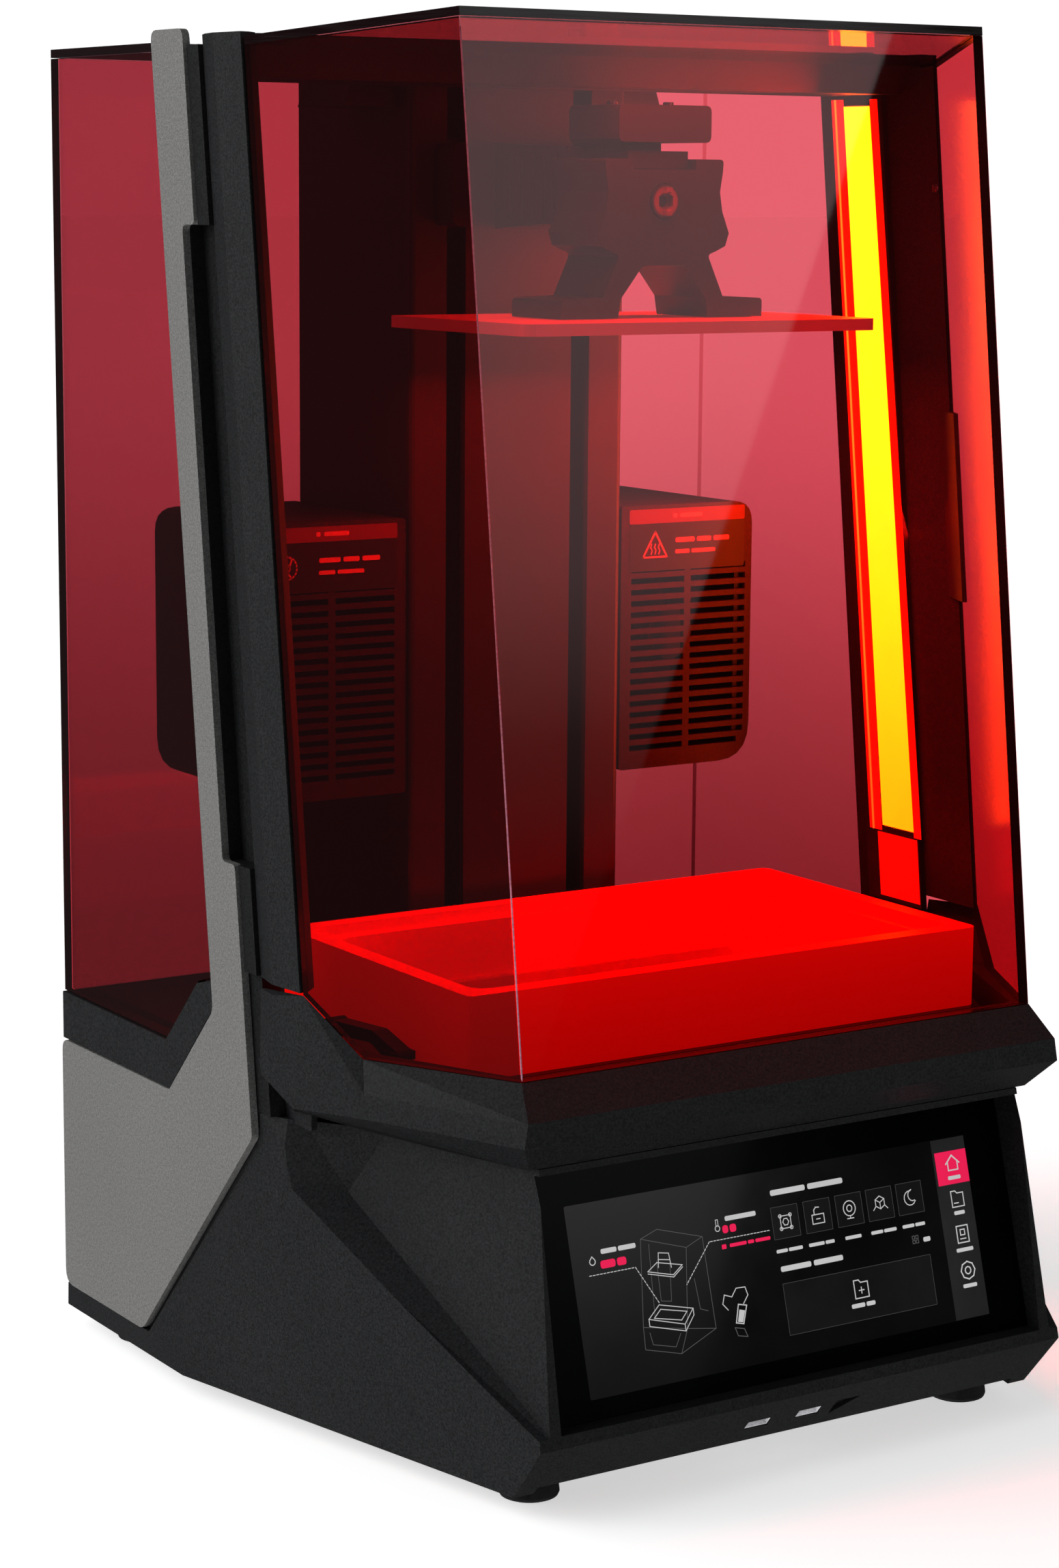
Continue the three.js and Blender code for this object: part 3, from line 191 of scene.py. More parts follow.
def moulded_black(name, light, grain=1.0, rough=0.47):
    """Spark-eroded black plastic: fine pebbled grain with faint cloudiness."""
    s = Shader(name)
    cloud = s.noise(14.0, 4.0)
    fine = s.noise(2600.0, 2.0, 0.6)
    pebble = s.cells(1300.0)
    shade = s.patchy(cloud, scaled((0.92, 0.97, 1.06), light), scaled((1.10, 1.14, 1.24), light))
    coarse = s.noise(900.0, 2.0, 0.7)
    speck = s.ramp(coarse, [(0.34, (0.62, 0.62, 0.62)), (0.68, (1.55, 1.54, 1.52))])
    s.set(Base_Color=s.times(shade, speck))
    s.set(Roughness=s.spread(fine, rough - 0.06, rough + 0.08))
    s.set(Specular_IOR_Level=0.24)
    s.bump(pebble, 0.30 * grain, 0.00012)
    s.bump(fine, 0.22 * grain, 0.00010)
    return s.material


def speckled_silver(name):
    """Silver grey paint with a fine dark and light metallic speckle."""
    s = Shader(name)
    fine = s.noise(1500.0, 2.0, 0.7)
    coarse = s.noise(620.0, 2.0, 0.6)
    broad = s.noise(9.0, 3.0)
    dark, mid, lit = (0.115, 0.113, 0.109), (0.222, 0.219, 0.213), (0.36, 0.355, 0.345)
    flake = s.ramp(fine, [(0.30, dark), (0.50, mid), (0.74, lit)])
    patch = s.ramp(coarse, [(0.35, (0.86, 0.86, 0.86)), (0.65, (1.12, 1.12, 1.12))])
    tone = s.patchy(broad, scaled(WHITE, 0.97), scaled(WHITE, 1.03))
    s.set(Base_Color=s.times(s.times(flake, patch), tone))
    s.set(Metallic=0.35, Roughness=s.spread(fine, 0.40, 0.58), Specular_IOR_Level=0.45)
    s.bump(coarse, 0.30, 0.00014)
    s.bump(fine, 0.25, 0.00008)
    return s.material


def satin_paint(name, colour, rough=0.42, metallic=0.0, grain=1400.0):
    """Even paint or anodising with a fine orange-peel grain."""
    s = Shader(name)
    fine = s.noise(grain, 2.0, 0.6)
    broad = s.noise(11.0, 4.0)
    s.set(Base_Color=s.patchy(broad, scaled(colour, 0.85), scaled(colour, 1.15)))
    s.set(Metallic=metallic, Roughness=s.spread(fine, rough - 0.05, rough + 0.08))
    s.bump(fine, 0.15, 0.00008)
    return s.material


def machined_metal(name, colour, rough=0.28, stretch=(60.0, 1400.0, 60.0)):
    """Ground or anodised metal with fine lines across it."""
    s = Shader(name)
    lines = s.noise(1.0, 3.0, 0.6, stretch)
    broad = s.noise(16.0, 3.0)
    s.set(Base_Color=s.patchy(broad, scaled(colour, 0.86), colour))
    s.set(Metallic=1.0, Roughness=s.spread(lines, rough - 0.08, rough + 0.12))
    s.bump(lines, 0.10, 0.00005)
    return s.material


def soft_rubber(name):
    """Dull black rubber with a little dust in it."""
    s = Shader(name)
    fine = s.noise(1800.0, 3.0)
    dust = s.noise(60.0, 5.0, 0.7)
    s.set(Base_Color=s.ramp(dust, [(0.35, (0.008, 0.008, 0.008)), (0.75, (0.022, 0.022, 0.022))]))
    s.set(Roughness=s.spread(fine, 0.62, 0.85))
    s.bump(fine, 0.3, 0.0001)
    return s.material


def red_acrylic(name, tints_with_painted_shade, gloss=0.9, blur=0.012):
    """Clear red sheet: a red tint over what is behind it, darker low down as painted shade, under a clean
    gloss.
    """
    s = Shader(name)
    t = s.tree
    top, bottom = tints_with_painted_shade
    # The tint darkens towards the bottom: painted shade.
    height = s.grey(s.axis("Z"), 0.0, 1.0, TINT_LOW, TINT_HIGH)
    tint = s.ramp(height, [(0.0, bottom), (1.0, top)], smooth=True)
    through = t.nodes.new("ShaderNodeBsdfTransparent")
    s.put(through.inputs["Color"], tint)
    smear = s.noise(7.0, 3.0)
    s.set(Base_Color=(0.60, 0.03, 0.06), Roughness=s.spread(smear, 0.02, 0.05))
    s.set(Specular_IOR_Level=0.5)
    shine = t.nodes.new("ShaderNodeBsdfGlossy")
    s.put(shine.inputs["Roughness"], s.spread(smear, blur, blur * 2.0))
    # The gloss grows towards grazing angles, as the reflection of clear plastic does.
    facing = t.nodes.new("ShaderNodeLayerWeight")
    facing.inputs["Blend"].default_value = 0.5
    grazing = s.math("POWER", facing.outputs["Facing"], 5.0)
    reflected = s.math("MULTIPLY_ADD", grazing, 1.0 - PLASTIC_MIRROR, PLASTIC_MIRROR)
    mirror = s.math("MULTIPLY", reflected, gloss)
    cloudy = t.nodes.new("ShaderNodeMixShader")
    cloudy.inputs["Fac"].default_value = SHEET_HAZE
    t.links.new(through.outputs["BSDF"], cloudy.inputs[1])
    t.links.new(s.bsdf.outputs["BSDF"], cloudy.inputs[2])
    blend = t.nodes.new("ShaderNodeMixShader")
    t.links.new(mirror, blend.inputs["Fac"])
    t.links.new(cloudy.outputs["Shader"], blend.inputs[1])
    t.links.new(shine.outputs["BSDF"], blend.inputs[2])
    t.links.new(blend.outputs["Shader"], s.output.inputs["Surface"])
    return s.material


def clear_sheet(name):
    """Clear film with faint smears."""
    s = Shader(name)
    smear = s.noise(30.0, 3.0)
    s.set(Base_Color=(0.93, 0.95, 0.96), Transmission_Weight=1.0, IOR=1.45)
    s.set(Roughness=s.spread(smear, 0.02, 0.08))
    return s.material


def lamp(name, strength, colour):
    """Glowing diffuser: an even light with a faint mottle."""
    s = Shader(name)
    mottled = s.noise(40.0, 2.0)
    s.set(Base_Color=(0.9, 0.7, 0.4), Roughness=0.5)
    lit = tuple(min(1.0, channel) for channel in scaled(colour, 1.06))
    s.set(Emission_Color=s.patchy(mottled, colour, lit))
    s.set(Emission_Strength=strength)
    return s.material


def gloss_black(name, colour, shine=0.40):
    """Black glass with faint finger smears."""
    s = Shader(name)
    smear = s.noise(22.0, 4.0, 0.6)
    s.set(Base_Color=s.patchy(smear, colour, scaled(colour, 1.6)))
    s.set(Roughness=s.spread(smear, 0.05, 0.11), Specular_IOR_Level=shine)
    return s.material


def glowing_ink(name, colour, strength):
    """A glowing mark or strip with a faint unevenness: lit from behind on the screen, painted lamp light on
    the housing and on the filter box label.
    """
    s = Shader(name)
    uneven = s.noise(35.0, 2.0)
    s.set(Base_Color=scaled(colour, 0.2), Roughness=0.4)
    s.set(Emission_Color=s.patchy(uneven, scaled(colour, 0.92), colour))
    s.set(Emission_Strength=strength)
    return s.material


def printed_ink(name, colour):
    """Flat print with a fine grain."""
    s = Shader(name)
    fine = s.noise(900.0, 2.0)
    s.set(Base_Color=s.patchy(fine, scaled(colour, 0.9), colour), Roughness=0.45)
    return s.material


def plain_acrylic(name, colour, rough=0.08):
    """The sawn or glued edge of the red sheet."""
    s = Shader(name)
    saw = s.noise(1.0, 3.0, 0.6, (30.0, 30.0, 900.0))
    s.set(Base_Color=s.patchy(saw, scaled(colour, 0.7), colour))
    s.set(Roughness=s.spread(saw, rough, rough + 0.15), Specular_IOR_Level=0.3)
    return s.material


def red_tray_painted_glow(name):
    """The tray under the red sheets: red satin metal with a painted red glow, brighter towards the top,
    that stands in for the enclosure's red light on it.
    """
    s = Shader(name)
    fine = s.noise(1300.0, 2.0, 0.6)
    broad = s.noise(6.0, 3.0)
    s.set(Base_Color=s.patchy(broad, (0.74, 0.016, 0.010), (0.86, 0.022, 0.014)))
    s.set(Roughness=s.spread(fine, 0.34, 0.5), Specular_IOR_Level=0.2)
    # Painted red glow, brighter towards the top.
    glow = s.ramp(s.axis("Z"), [(0.19, (0.80, 0.002, 0.0)), (0.232, (1.0, 0.003, 0.001))])
    s.set(Emission_Color=glow, Emission_Strength=0.65)
    s.bump(fine, 0.12, 0.00006)
    return s.material


def plate_painted_red_light(name):
    """Blasted aluminium with the enclosure's red light painted on: a pink cast in its grey and a faint red
    glow.
    """
    s = Shader(name)
    fine = s.noise(1100.0, 2.0, 0.6)
    broad = s.noise(14.0, 3.0)
    # The grey is the plate's own; its pink cast and the red glow below are painted light.
    s.set(Base_Color=s.patchy(broad, (0.56, 0.40, 0.40), (0.64, 0.48, 0.48)), Metallic=0.2)
    s.set(Roughness=s.spread(fine, 0.28, 0.42))
    s.set(Emission_Color=s.patchy(broad, (0.9, 0.012, 0.02), (1.0, 0.018, 0.03)), Emission_Strength=0.16)
    s.bump(fine, 0.12, 0.00006)
    return s.material


def turned_steel(name, centre_z):
    """A knob end: dark hub, lit ring and dark rim by distance from its own axis."""
    s = Shader(name)
    across = s.math("MULTIPLY", s.axis("X"), s.axis("X"))
    height = s.math("SUBTRACT", s.axis("Z"), centre_z)
    reach = s.math("SQRT", s.math("ADD", across, s.math("MULTIPLY", height, height)))
    rings = s.grey(reach, 0.0, 1.0, 0.0, KNOB_END_RADIUS)
    hub, rim = (0.02, 0.012, 0.012), (0.02, 0.01, 0.01)
    ring_in, ring_out = (0.20, 0.04, 0.05), (0.16, 0.03, 0.04)
    tone = s.ramp(rings, [(0.30, hub), (0.38, ring_in), (0.78, ring_out), (0.90, rim)])
    fine = s.noise(900.0, 2.0)
    s.set(Base_Color=tone, Metallic=0.4, Roughness=s.spread(fine, 0.30, 0.45))
    return s.material


# Each surface's tint, (high up, low down), carries painted shade: darker low down, and different from sheet
# to sheet. Two surfaces make one sheet.
HOOD_TINT = ((0.965, 0.465, 0.505), (0.85, 0.245, 0.28))
LEFT_TINT = ((0.71, 0.28, 0.31), (0.54, 0.08, 0.12))
SIDE_TINT = ((0.94, 0.65, 0.71), (0.58, 0.46, 0.48))
REAR_LEFT_TINT = ((0.66, 0.27, 0.31), (0.64, 0.16, 0.20))

KNOB_Z = 0.577

look = {
    "textured_black": moulded_black("textured_black", 0.0155),
    "silver_paint": speckled_silver("silver_paint"),
    "red_acrylic": red_acrylic("red_acrylic", HOOD_TINT),
    "clear_film": clear_sheet("clear_film"),
    "rubber_black": soft_rubber("rubber_black"),
    "dark_paint": satin_paint("dark_paint", (0.020, 0.020, 0.021)),
    "dark_anodised": satin_paint("dark_anodised", (0.016, 0.015, 0.016), 0.36, 0.2, 1900.0),
    "moulded_black": moulded_black("moulded_black_fine", 0.012, 0.5, 0.38),
    "bright_steel": machined_metal("bright_steel", (0.62, 0.63, 0.65), 0.22, (900.0, 900.0, 60.0)),
    "bare_aluminium": machined_metal("bare_aluminium", (0.70, 0.71, 0.73), 0.34),
    "lamp_plastic": lamp("lamp_plastic", 17.0, (1.0, 0.33, 0.001)),
    "panel_glass": gloss_black("panel_glass", (0.0016, 0.0019, 0.0022), shine=0.06),
    "circuit_green": satin_paint("circuit_green", (0.02, 0.12, 0.05), 0.35, 0.0, 700.0),
}
own_look = {
    "hood_glass_right": red_acrylic("red_acrylic_right", HOOD_TINT, gloss=0.6, blur=0.14),
    "hood_glass_left": red_acrylic("red_acrylic_left", LEFT_TINT),
    "usb_socket_1": satin_paint("usb_shell", (0.92, 0.92, 0.94), 0.28, 0.1, 900.0),
    "rear_glass_right": red_acrylic("red_acrylic_side", SIDE_TINT),
    "rear_glass_left": red_acrylic("red_acrylic_rear_left", REAR_LEFT_TINT),
    "vat_frame": red_tray_painted_glow("vat_red_painted_glow"),
    "build_platform": plate_painted_red_light("platform_face_painted_red_light"),
    "lock_knob": turned_steel("knob_steel", KNOB_Z),
    "pillar_right": moulded_black("pillar_black", 0.011, 0.8, 0.50),
}
own_look["usb_socket_2"] = own_look["usb_socket_1"]
own_look["rear_glass_back"] = own_look["rear_glass_right"]
own_look["rear_glass_top"] = own_look["rear_glass_right"]
own_look["pillar_left"] = own_look["pillar_right"]

dark_edge = plain_acrylic("acrylic_edge_dark", (0.010, 0.001, 0.002))
glued_edge = plain_acrylic("acrylic_edge_glued", (0.62, 0.26, 0.36), 0.2)
screen_look = gloss_black("screen_glass", (0.0090, 0.0084, 0.0084))
tile_look = gloss_black("screen_tile", (0.019, 0.019, 0.020))
sidebar_look = gloss_black("screen_sidebar", (0.042, 0.042, 0.044))
white_ink = glowing_ink("screen_white", (0.80, 0.80, 0.80), 0.62)
faint_ink = glowing_ink("screen_grey", (0.105, 0.105, 0.11), 0.8)
red_ink = glowing_ink("screen_red", (0.80, 0.004, 0.075), 1.0)
painted_lamp_light_red = glowing_ink("painted_lamp_light_red", (1.0, 0.012, 0.0), 1.8)
painted_lamp_light_orange = glowing_ink("painted_lamp_light_orange", (1.0, 0.32, 0.02), 4.0)
# The red band's print is made to glow: painted light over its own red.
label_red_painted_glow = glowing_ink("label_red_painted_glow", (0.30, 0.004, 0.010), 0.35)
label_dark = printed_ink("label_dark", (0.006, 0.006, 0.007))
label_mark = printed_ink("label_mark", (0.35, 0.33, 0.33))

# The material slot of each CAD piece, as its record gives it.
slot_of = {sub["node"]: sub["material_slot"] for sub in frame["record"]["subparts"]}
# Width in mm of the softened edges of the larger pieces.
EDGE = {
    "base_shell": 0.9, "front_collar": 1.3, "rear_collar": 1.1, "base_plate": 0.4,
    "side_panel_left": 0.8, "side_panel_right": 0.8, "pillar_left": 0.9, "pillar_right": 0.9,
    "hood_frame": 1.1, "top_bridge": 0.8, "tower_column": 0.8, "carriage": 0.8,
    "platform_arm": 0.8, "platform_bracket": 0.9, "build_platform": 0.4, "vat_frame": 1.1,
    "side_box_left": 0.9, "side_box_right": 0.9,
}
# The axis (0 = X, 1 = Y, 2 = Z) that each sheet with dark cut edges is thin along.
SHEETS = {
    "hood_glass_front": 1, "hood_glass_left": 0, "hood_glass_right": 0, "hood_glass_top": 2,
    "rear_glass_left": 0, "rear_glass_top": 2,
}


SHARP_ANGLE = math.radians(24)
# A face leans this much or less towards its sheet's thin axis when it is a cut edge.
EDGE_LEAN = 0.6


def soften(obj, width_mm):
    bevel = obj.modifiers.new("edge", "BEVEL")
    bevel.width = width_mm * MM
    bevel.segments = 2
    bevel.limit_method = "ANGLE"
    bevel.angle_limit = SHARP_ANGLE
    bevel.use_clamp_overlap = True
    bevel.harden_normals = False


def dress_edges(name, through):
    """Give the cut edges of a sheet their own dark material."""
    data = nodes[name].data
    data.materials.append(dark_edge)
    for face in data.polygons:
        if abs(face.normal[through]) < EDGE_LEAN:
            face.material_index = 1


for name, obj in nodes.items():
    obj.data.materials.clear()
    obj.data.materials.append(own_look.get(name, look[slot_of[name]]))
    if name in EDGE:
        soften(obj, EDGE[name])
for name, through in SHEETS.items():
    dress_edges(name, through)


# ---------------------------------------------------------------- flat graphics and small hardware


class Board:
    """A flat area on the machine that carries printed or lit marks. Its own axes are in millimetres."""

    def __init__(self, corner, across, up):
        self.corner = Vector(corner)
        self.across = Vector(across).normalized()
        self.up = Vector(up).normalized()
        self.out = self.across.cross(self.up)

    def point(self, u, v, lift):
        return (self.corner + self.across * u + self.up * v + self.out * lift) * MM


def closed_mesh(name, bm):
    """The finished mesh, with its faces turned outward."""
    bmesh.ops.recalc_face_normals(bm, faces=bm.faces[:])
    data = bpy.data.meshes.new(name)
    bm.to_mesh(data)
    bm.free()
    return data


def join_rings(bm, lower, upper):
    """A band of quads between two rings of vertices."""
    count = len(lower)
    for k in range(count):
        following = (k + 1) % count
        bm.faces.new((lower[k], lower[following], upper[following], upper[k]))


def plate_mesh(name, board, outlines, lift, thickness):
    """Thin closed plates, one per outline, standing `lift` above the board."""
    bm = bmesh.new()
    for outline in outlines:
        lower = [bm.verts.new(board.point(u, v, lift)) for u, v in outline]
        upper = [bm.verts.new(board.point(u, v, lift + thickness)) for u, v in outline]
        bm.faces.new(upper)
        bm.faces.new(list(reversed(lower)))
        join_rings(bm, lower, upper)
    return closed_mesh(name, bm)


def add_piece(name, data, body, material, smooth=False):
    """Put a new visible piece in the scene, riding on one moving body."""
    obj = bpy.data.objects.new(name, data)
    scene.collection.objects.link(obj)
    data.materials.append(material)
    if smooth:
        data.shade_smooth()
    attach(obj, body)


def rounded(u0, v0, u1, v1, radius=0.0, steps=4):
    """Outline of a rectangle with rounded corners."""
    if radius <= 0:
        return [(u0, v0), (u1, v0), (u1, v1), (u0, v1)]
    corners = [(u1 - radius, v0 + radius, -90), (u1 - radius, v1 - radius, 0)]
    corners += [(u0 + radius, v1 - radius, 90), (u0 + radius, v0 + radius, 180)]
    points = []
    for cu, cv, start in corners:
        for k in range(steps + 1):
            angle = math.radians(start + 90 * k / steps)
            points.append((cu + radius * math.cos(angle), cv + radius * math.sin(angle)))
    return points


def line(points, width, closed=False):
    """One thin quad per segment, each run on by half the width so corners meet."""
    ends = list(zip(points, points[1:] + points[:1])) if closed else list(zip(points, points[1:]))
    quads = []
    for (au, av), (bu, bv) in ends:
        length = math.hypot(bu - au, bv - av)
        du, dv = (bu - au) / length * width / 2, (bv - av) / length * width / 2
        quads.append(
            [
                (au - du + dv, av - dv - du),
                (bu + du + dv, bv + dv - du),
                (bu + du - dv, bv + dv + du),
                (au - du - dv, av - dv + du),
            ]
        )
    return quads


def dashed(points, width):
    """A path of short dashes. A last dash too short to see is left out."""
    dash, gap, shortest = 1.1, 0.8, 0.2
    quads = []
    for (au, av), (bu, bv) in zip(points, points[1:]):
        length = math.hypot(bu - au, bv - av)
        place = 0.0
        while place < length:
            stop = min(length, place + dash)
            start_point = (au + (bu - au) * place / length, av + (bv - av) * place / length)
            stop_point = (au + (bu - au) * stop / length, av + (bv - av) * stop / length)
            if stop - place > shortest:
                quads += line([start_point, stop_point], width)
            place += dash + gap
    return quads


def polygon_points(cu, cv, radius, sides, turn=0.0):
    angles = [math.radians(turn) + 2 * math.pi * k / sides for k in range(sides)]
    return [(cu + radius * math.cos(a), cv + radius * math.sin(a)) for a in angles]


def outline_of(cu, cv, radius, sides, width, turn=0.0):
    return line(polygon_points(cu, cv, radius, sides, turn), width, closed=True)


def box_line(u0, v0, u1, v1, width):
    return line([(u0, v0), (u1, v0), (u1, v1), (u0, v1)], width, closed=True)


def words(cu, cv, height, lengths, gap=0.9):
    """A caption that carries no lettering: a row of short bars."""
    total = sum(lengths) + gap * (len(lengths) - 1)
    place = cu - total / 2
    bars = []
    for length in lengths:
        bars.append(rounded(place, cv - height / 2, place + length, cv + height / 2, height * 0.3, 2))
        place += length + gap
    return bars


def lathe(name, place, axis, profile, sides, socket=None):
    """A turned piece: (distance out, radius) rings along the axis, six-sided from ring `socket` on."""
    axis = Vector(axis).normalized()
    side = axis.orthogonal().normalized()
    other = axis.cross(side)
    bm = bmesh.new()
    rings = []
    for index, (out, radius) in enumerate(profile):
        ring = []
        for k in range(sides):
            angle = 2 * math.pi * k / sides
            reach = radius
            if socket is not None and index >= socket:
                part = (angle % (math.pi / 3)) - math.pi / 6
                reach = radius * math.cos(math.pi / 6) / math.cos(part)
            spot = Vector(place) + axis * out + (side * math.cos(angle) + other * math.sin(angle)) * reach
            ring.append(bm.verts.new(spot * MM))
        rings.append(ring)
    for below, above in zip(rings, rings[1:]):
        join_rings(bm, below, above)
    bm.faces.new(list(reversed(rings[0])))
    bm.faces.new(rings[-1])
    return closed_mesh(name, bm)


def cap_screw(name, place, axis, radius, body):
    """Socket head screw: chamfered head with a hexagonal recess."""
    profile = [
        (-0.4, radius),
        (radius * 0.55, radius),
        (radius * 0.70, radius * 0.86),
        (radius * 0.70, radius * 0.55),
        (radius * 0.20, radius * 0.52),
    ]
    data = lathe(name, place, axis, profile, 24, socket=3)
    add_piece(name, data, body, look["bright_steel"])


# ---------------------------------------------------------------- display

# The lit area behind the touch panel, in mm: its lower and upper z and half its width.
SCREEN_LOW, SCREEN_HIGH, SCREEN_HALF = 52.5, 135.6, 115.0
# The panel leans back by this much per mm of height.
PANEL_SLOPE = 0.2828
panel_low, _ = box_mm("touch_panel")
screen_front = panel_low.y + PANEL_SLOPE * (SCREEN_LOW - panel_low.z)
display = Board((-SCREEN_HALF, screen_front, SCREEN_LOW), (1, 0, 0), (0, PANEL_SLOPE, 1))
SCREEN_W = 2 * SCREEN_HALF
SCREEN_H = (SCREEN_HIGH - SCREEN_LOW) * math.hypot(1, PANEL_SLOPE)


def screen_piece(name, outlines, lift, material, thickness=0.06):
    data = plate_mesh(name, display, outlines, lift, thickness)
    add_piece(name, data, "housing", material)


screen_piece("display_area", [rounded(0, 0, SCREEN_W, SCREEN_H, 0.8)], 0.02, screen_look)
SIDEBAR_U, SCREEN_MARGIN = 209.5, 0.2
sidebar = rounded(SIDEBAR_U, SCREEN_MARGIN, SCREEN_W - SCREEN_MARGIN, SCREEN_H - SCREEN_MARGIN)
screen_piece("display_sidebar", [sidebar], 0.09, sidebar_look)

# Five square tiles in a row, over a wide panel for the file.
TILE_U = [119.0, 137.7, 156.3, 174.5, 192.5]
TILE_V, TILE_HALF_W, TILE_HALF_H = 61.5, 7.6, 7.4
FILE_PANEL = (112.3, 9.8, 199.5, 33.6)
TILE_BOTTOM, TILE_TOP = TILE_V - TILE_HALF_H, TILE_V + TILE_HALF_H
panels = [(u - TILE_HALF_W, TILE_BOTTOM, u + TILE_HALF_W, TILE_TOP) for u in TILE_U] + [FILE_PANEL]
screen_piece("display_tiles", [rounded(*panel, 0.5) for panel in panels], 0.09, tile_look)
RIM = 0.12
grey_marks = []
for panel in panels:
    grey_marks += box_line(*panel, RIM)


def arc(cu, cv, radius, start, stop, step):
    """Points round a centre, from one angle in degrees up to another."""
    angles = [math.radians(a) for a in range(start, stop, step)]
    return [(cu + radius * math.cos(a), cv + radius * math.sin(a)) for a in angles]


def droplet(u, v, size):
    points = [(u, v + size * 1.5)] + arc(u, v, size, 30, -211, -30)
    return line(points, size * 0.28, closed=True)


def folder(u, v, w, h, width):
    shoulder = v + h * 0.7
    points = [(u - w, v - h), (u + w, v - h), (u + w, shoulder), (u, shoulder)]
    points += [(u - w * 0.3, v + h), (u - w, v + h)]
    return line(points, width, closed=True)


# A plain line sketch of the machine in grey, with its tray and platform picked out in white.
SKETCH_GREY = [
    [(38, 66), (47.5, 69), (71.5, 62), (62, 58.5), (38, 66)],
    [(38, 66), (33, 27), (56.5, 22.5), (62, 58.5)],
    [(71.5, 62), (72, 20), (56.5, 22.5)],
    [(33, 27), (32.5, 17), (51.5, 12), (72, 20)],
    [(56.5, 22.5), (51.5, 12)],
    [(36, 24), (37, 18.5), (49, 15.5), (52.5, 21)],
    [(45, 55), (44.5, 37), (50, 36), (52, 53)],
    [(64, 44), (65, 30), (69, 28.5)],
    [(42, 63), (40, 31)],
]
SKETCH_WHITE = [
    [(39.5, 51), (45, 54.3), (58.5, 51.2), (53, 47.5), (39.5, 51)],
    [(39.5, 50), (53, 46.5), (58.5, 50.2)],
    [(45.5, 52), (46.5, 58.5), (52, 57.5), (52.5, 51)],
    [(46, 55.5), (52, 54.5)],
    [(36.5, 30), (43, 35.5), (61, 31), (55.5, 24.7), (36.5, 30)],
    [(36.5, 30), (36.5, 26.8), (55.5, 21.6), (61, 28), (61, 31)],
    [(55.5, 24.7), (55.5, 21.6)],
    [(39.5, 30), (43.5, 33.4), (57.5, 30.2), (54, 26.8), (39.5, 30)],
]
for stroke in SKETCH_GREY:
    grey_marks += line(stroke, 0.26)
white_marks = []
for stroke in SKETCH_WHITE:
    white_marks += line(stroke, 0.36)
white_marks += dashed([(8.5, 54.0), (33.3, 54.0), (43.5, 36.0)], 0.35)
white_marks += dashed([(109.0, 59.0), (75.0, 59.0), (59.5, 42.0)], 0.35)
white_marks += droplet(11.0, 60.0, 1.5)
white_marks += words(25.5, 63.8, 2.2, [8.5, 9.5])
white_marks += outline_of(80.5, 64.2, 1.3, 10, 0.35) + box_line(79.9, 65.3, 81.1, 68.2, 0.3)
white_marks += words(94.0, 68.0, 2.2, [17.5])
red_marks = words(22.0, 58.0, 3.6, [8.0, 5.0])
red_marks += words(87.0, 63.3, 3.6, [3.2, 3.6])
red_marks += [rounded(81.5, 54.5, 84.0, 56.6, 0.3)] + words(97.5, 55.6, 1.6, [9.5, 3.5, 8.5], 0.8)

# The memory stick with its lead, at the right of the sketch.
white_marks += line([(83.5, 20.5), (87.5, 19.5), (90.5, 27.5), (86.0, 28.6)], 0.5, closed=True)
white_marks += [[(84.5, 20.8), (87.2, 20.2), (89.2, 25.3), (86.2, 26.2)]]
stick_lead = [(89, 28.5), (92, 32), (91, 35.8), (86, 36), (83, 32.5), (79, 34), (77.5, 30), (80, 27)]
white_marks += line(stick_lead, 0.4)
grey_marks += line([(82.5, 18.5), (87.5, 17.2), (88.8, 13.4), (83.6, 14.6)], 0.35, closed=True)

# Headings over the tiles and the file panel, and the tiles' captions.
white_marks += words(133.5, 75.6, 2.6, [20.0, 20.5], 1.6)
white_marks += words(130.5, 40.3, 2.5, [17.5, 17.0], 1.6)
white_marks += words(199.0, 41.0, 2.2, [4.2])
for du in (0, 2.1):
    for dv in (0, 2.1):
        grey_marks += box_line(190.5 + du, 40.0 + dv, 191.9 + du, 41.4 + dv, 0.3)
for u, lengths in zip(TILE_U, ([6.4, 8.0], [9.0, 5.2], [9.5], [7.0, 7.4], [7.0, 5.8])):
    white_marks += words(u, 48.6, 1.6, lengths, 0.7)

# The five tiles: a square with knobs, a padlock, a lens on a foot, a three-way sign and a moon.
u, v = TILE_U[0], TILE_V
white_marks += box_line(u - 2.9, v - 2.9, u + 2.9, v + 2.9, 0.4) + outline_of(u, v, 1.7, 6, 0.4)
for du in (-2.9, 2.9):
    for dv in (-2.9, 2.9):
        white_marks += outline_of(u + du, v + dv, 0.8, 8, 0.35)
u = TILE_U[1]
white_marks += box_line(u - 3.4, v - 3.6, u + 3.4, v + 0.6, 0.45)
white_marks += line([(u - 1.0, v - 1.5), (u + 1.0, v - 1.5)], 0.45)
white_marks += line([(u - 2.0, v + 0.6), (u - 2.0, v + 2.8), (u - 0.8, v + 4.0), (u + 1.0, v + 3.8)], 0.45)
u = TILE_U[2]
white_marks += outline_of(u, v + 0.6, 3.5, 20, 0.45) + outline_of(u, v + 0.6, 1.5, 14, 0.45)
white_marks += line([(u, v - 2.9), (u, v - 4.0)], 0.4)
white_marks += line([(u - 1.8, v - 4.1), (u + 1.8, v - 4.1)], 0.45)
u = TILE_U[3]
white_marks += outline_of(u, v + 0.6, 3.0, 6, 0.42, 30)
for tip in ((u, v - 2.4), (u + 2.6, v + 2.1), (u - 2.6, v + 2.1)):
    white_marks += line([(u, v + 0.6), tip], 0.4)
for side in (-1, 1):
    white_marks += line([(u + side * 2.6, v - 0.9), (u + side * 4.2, v - 2.6)], 0.4)
u = TILE_U[4]
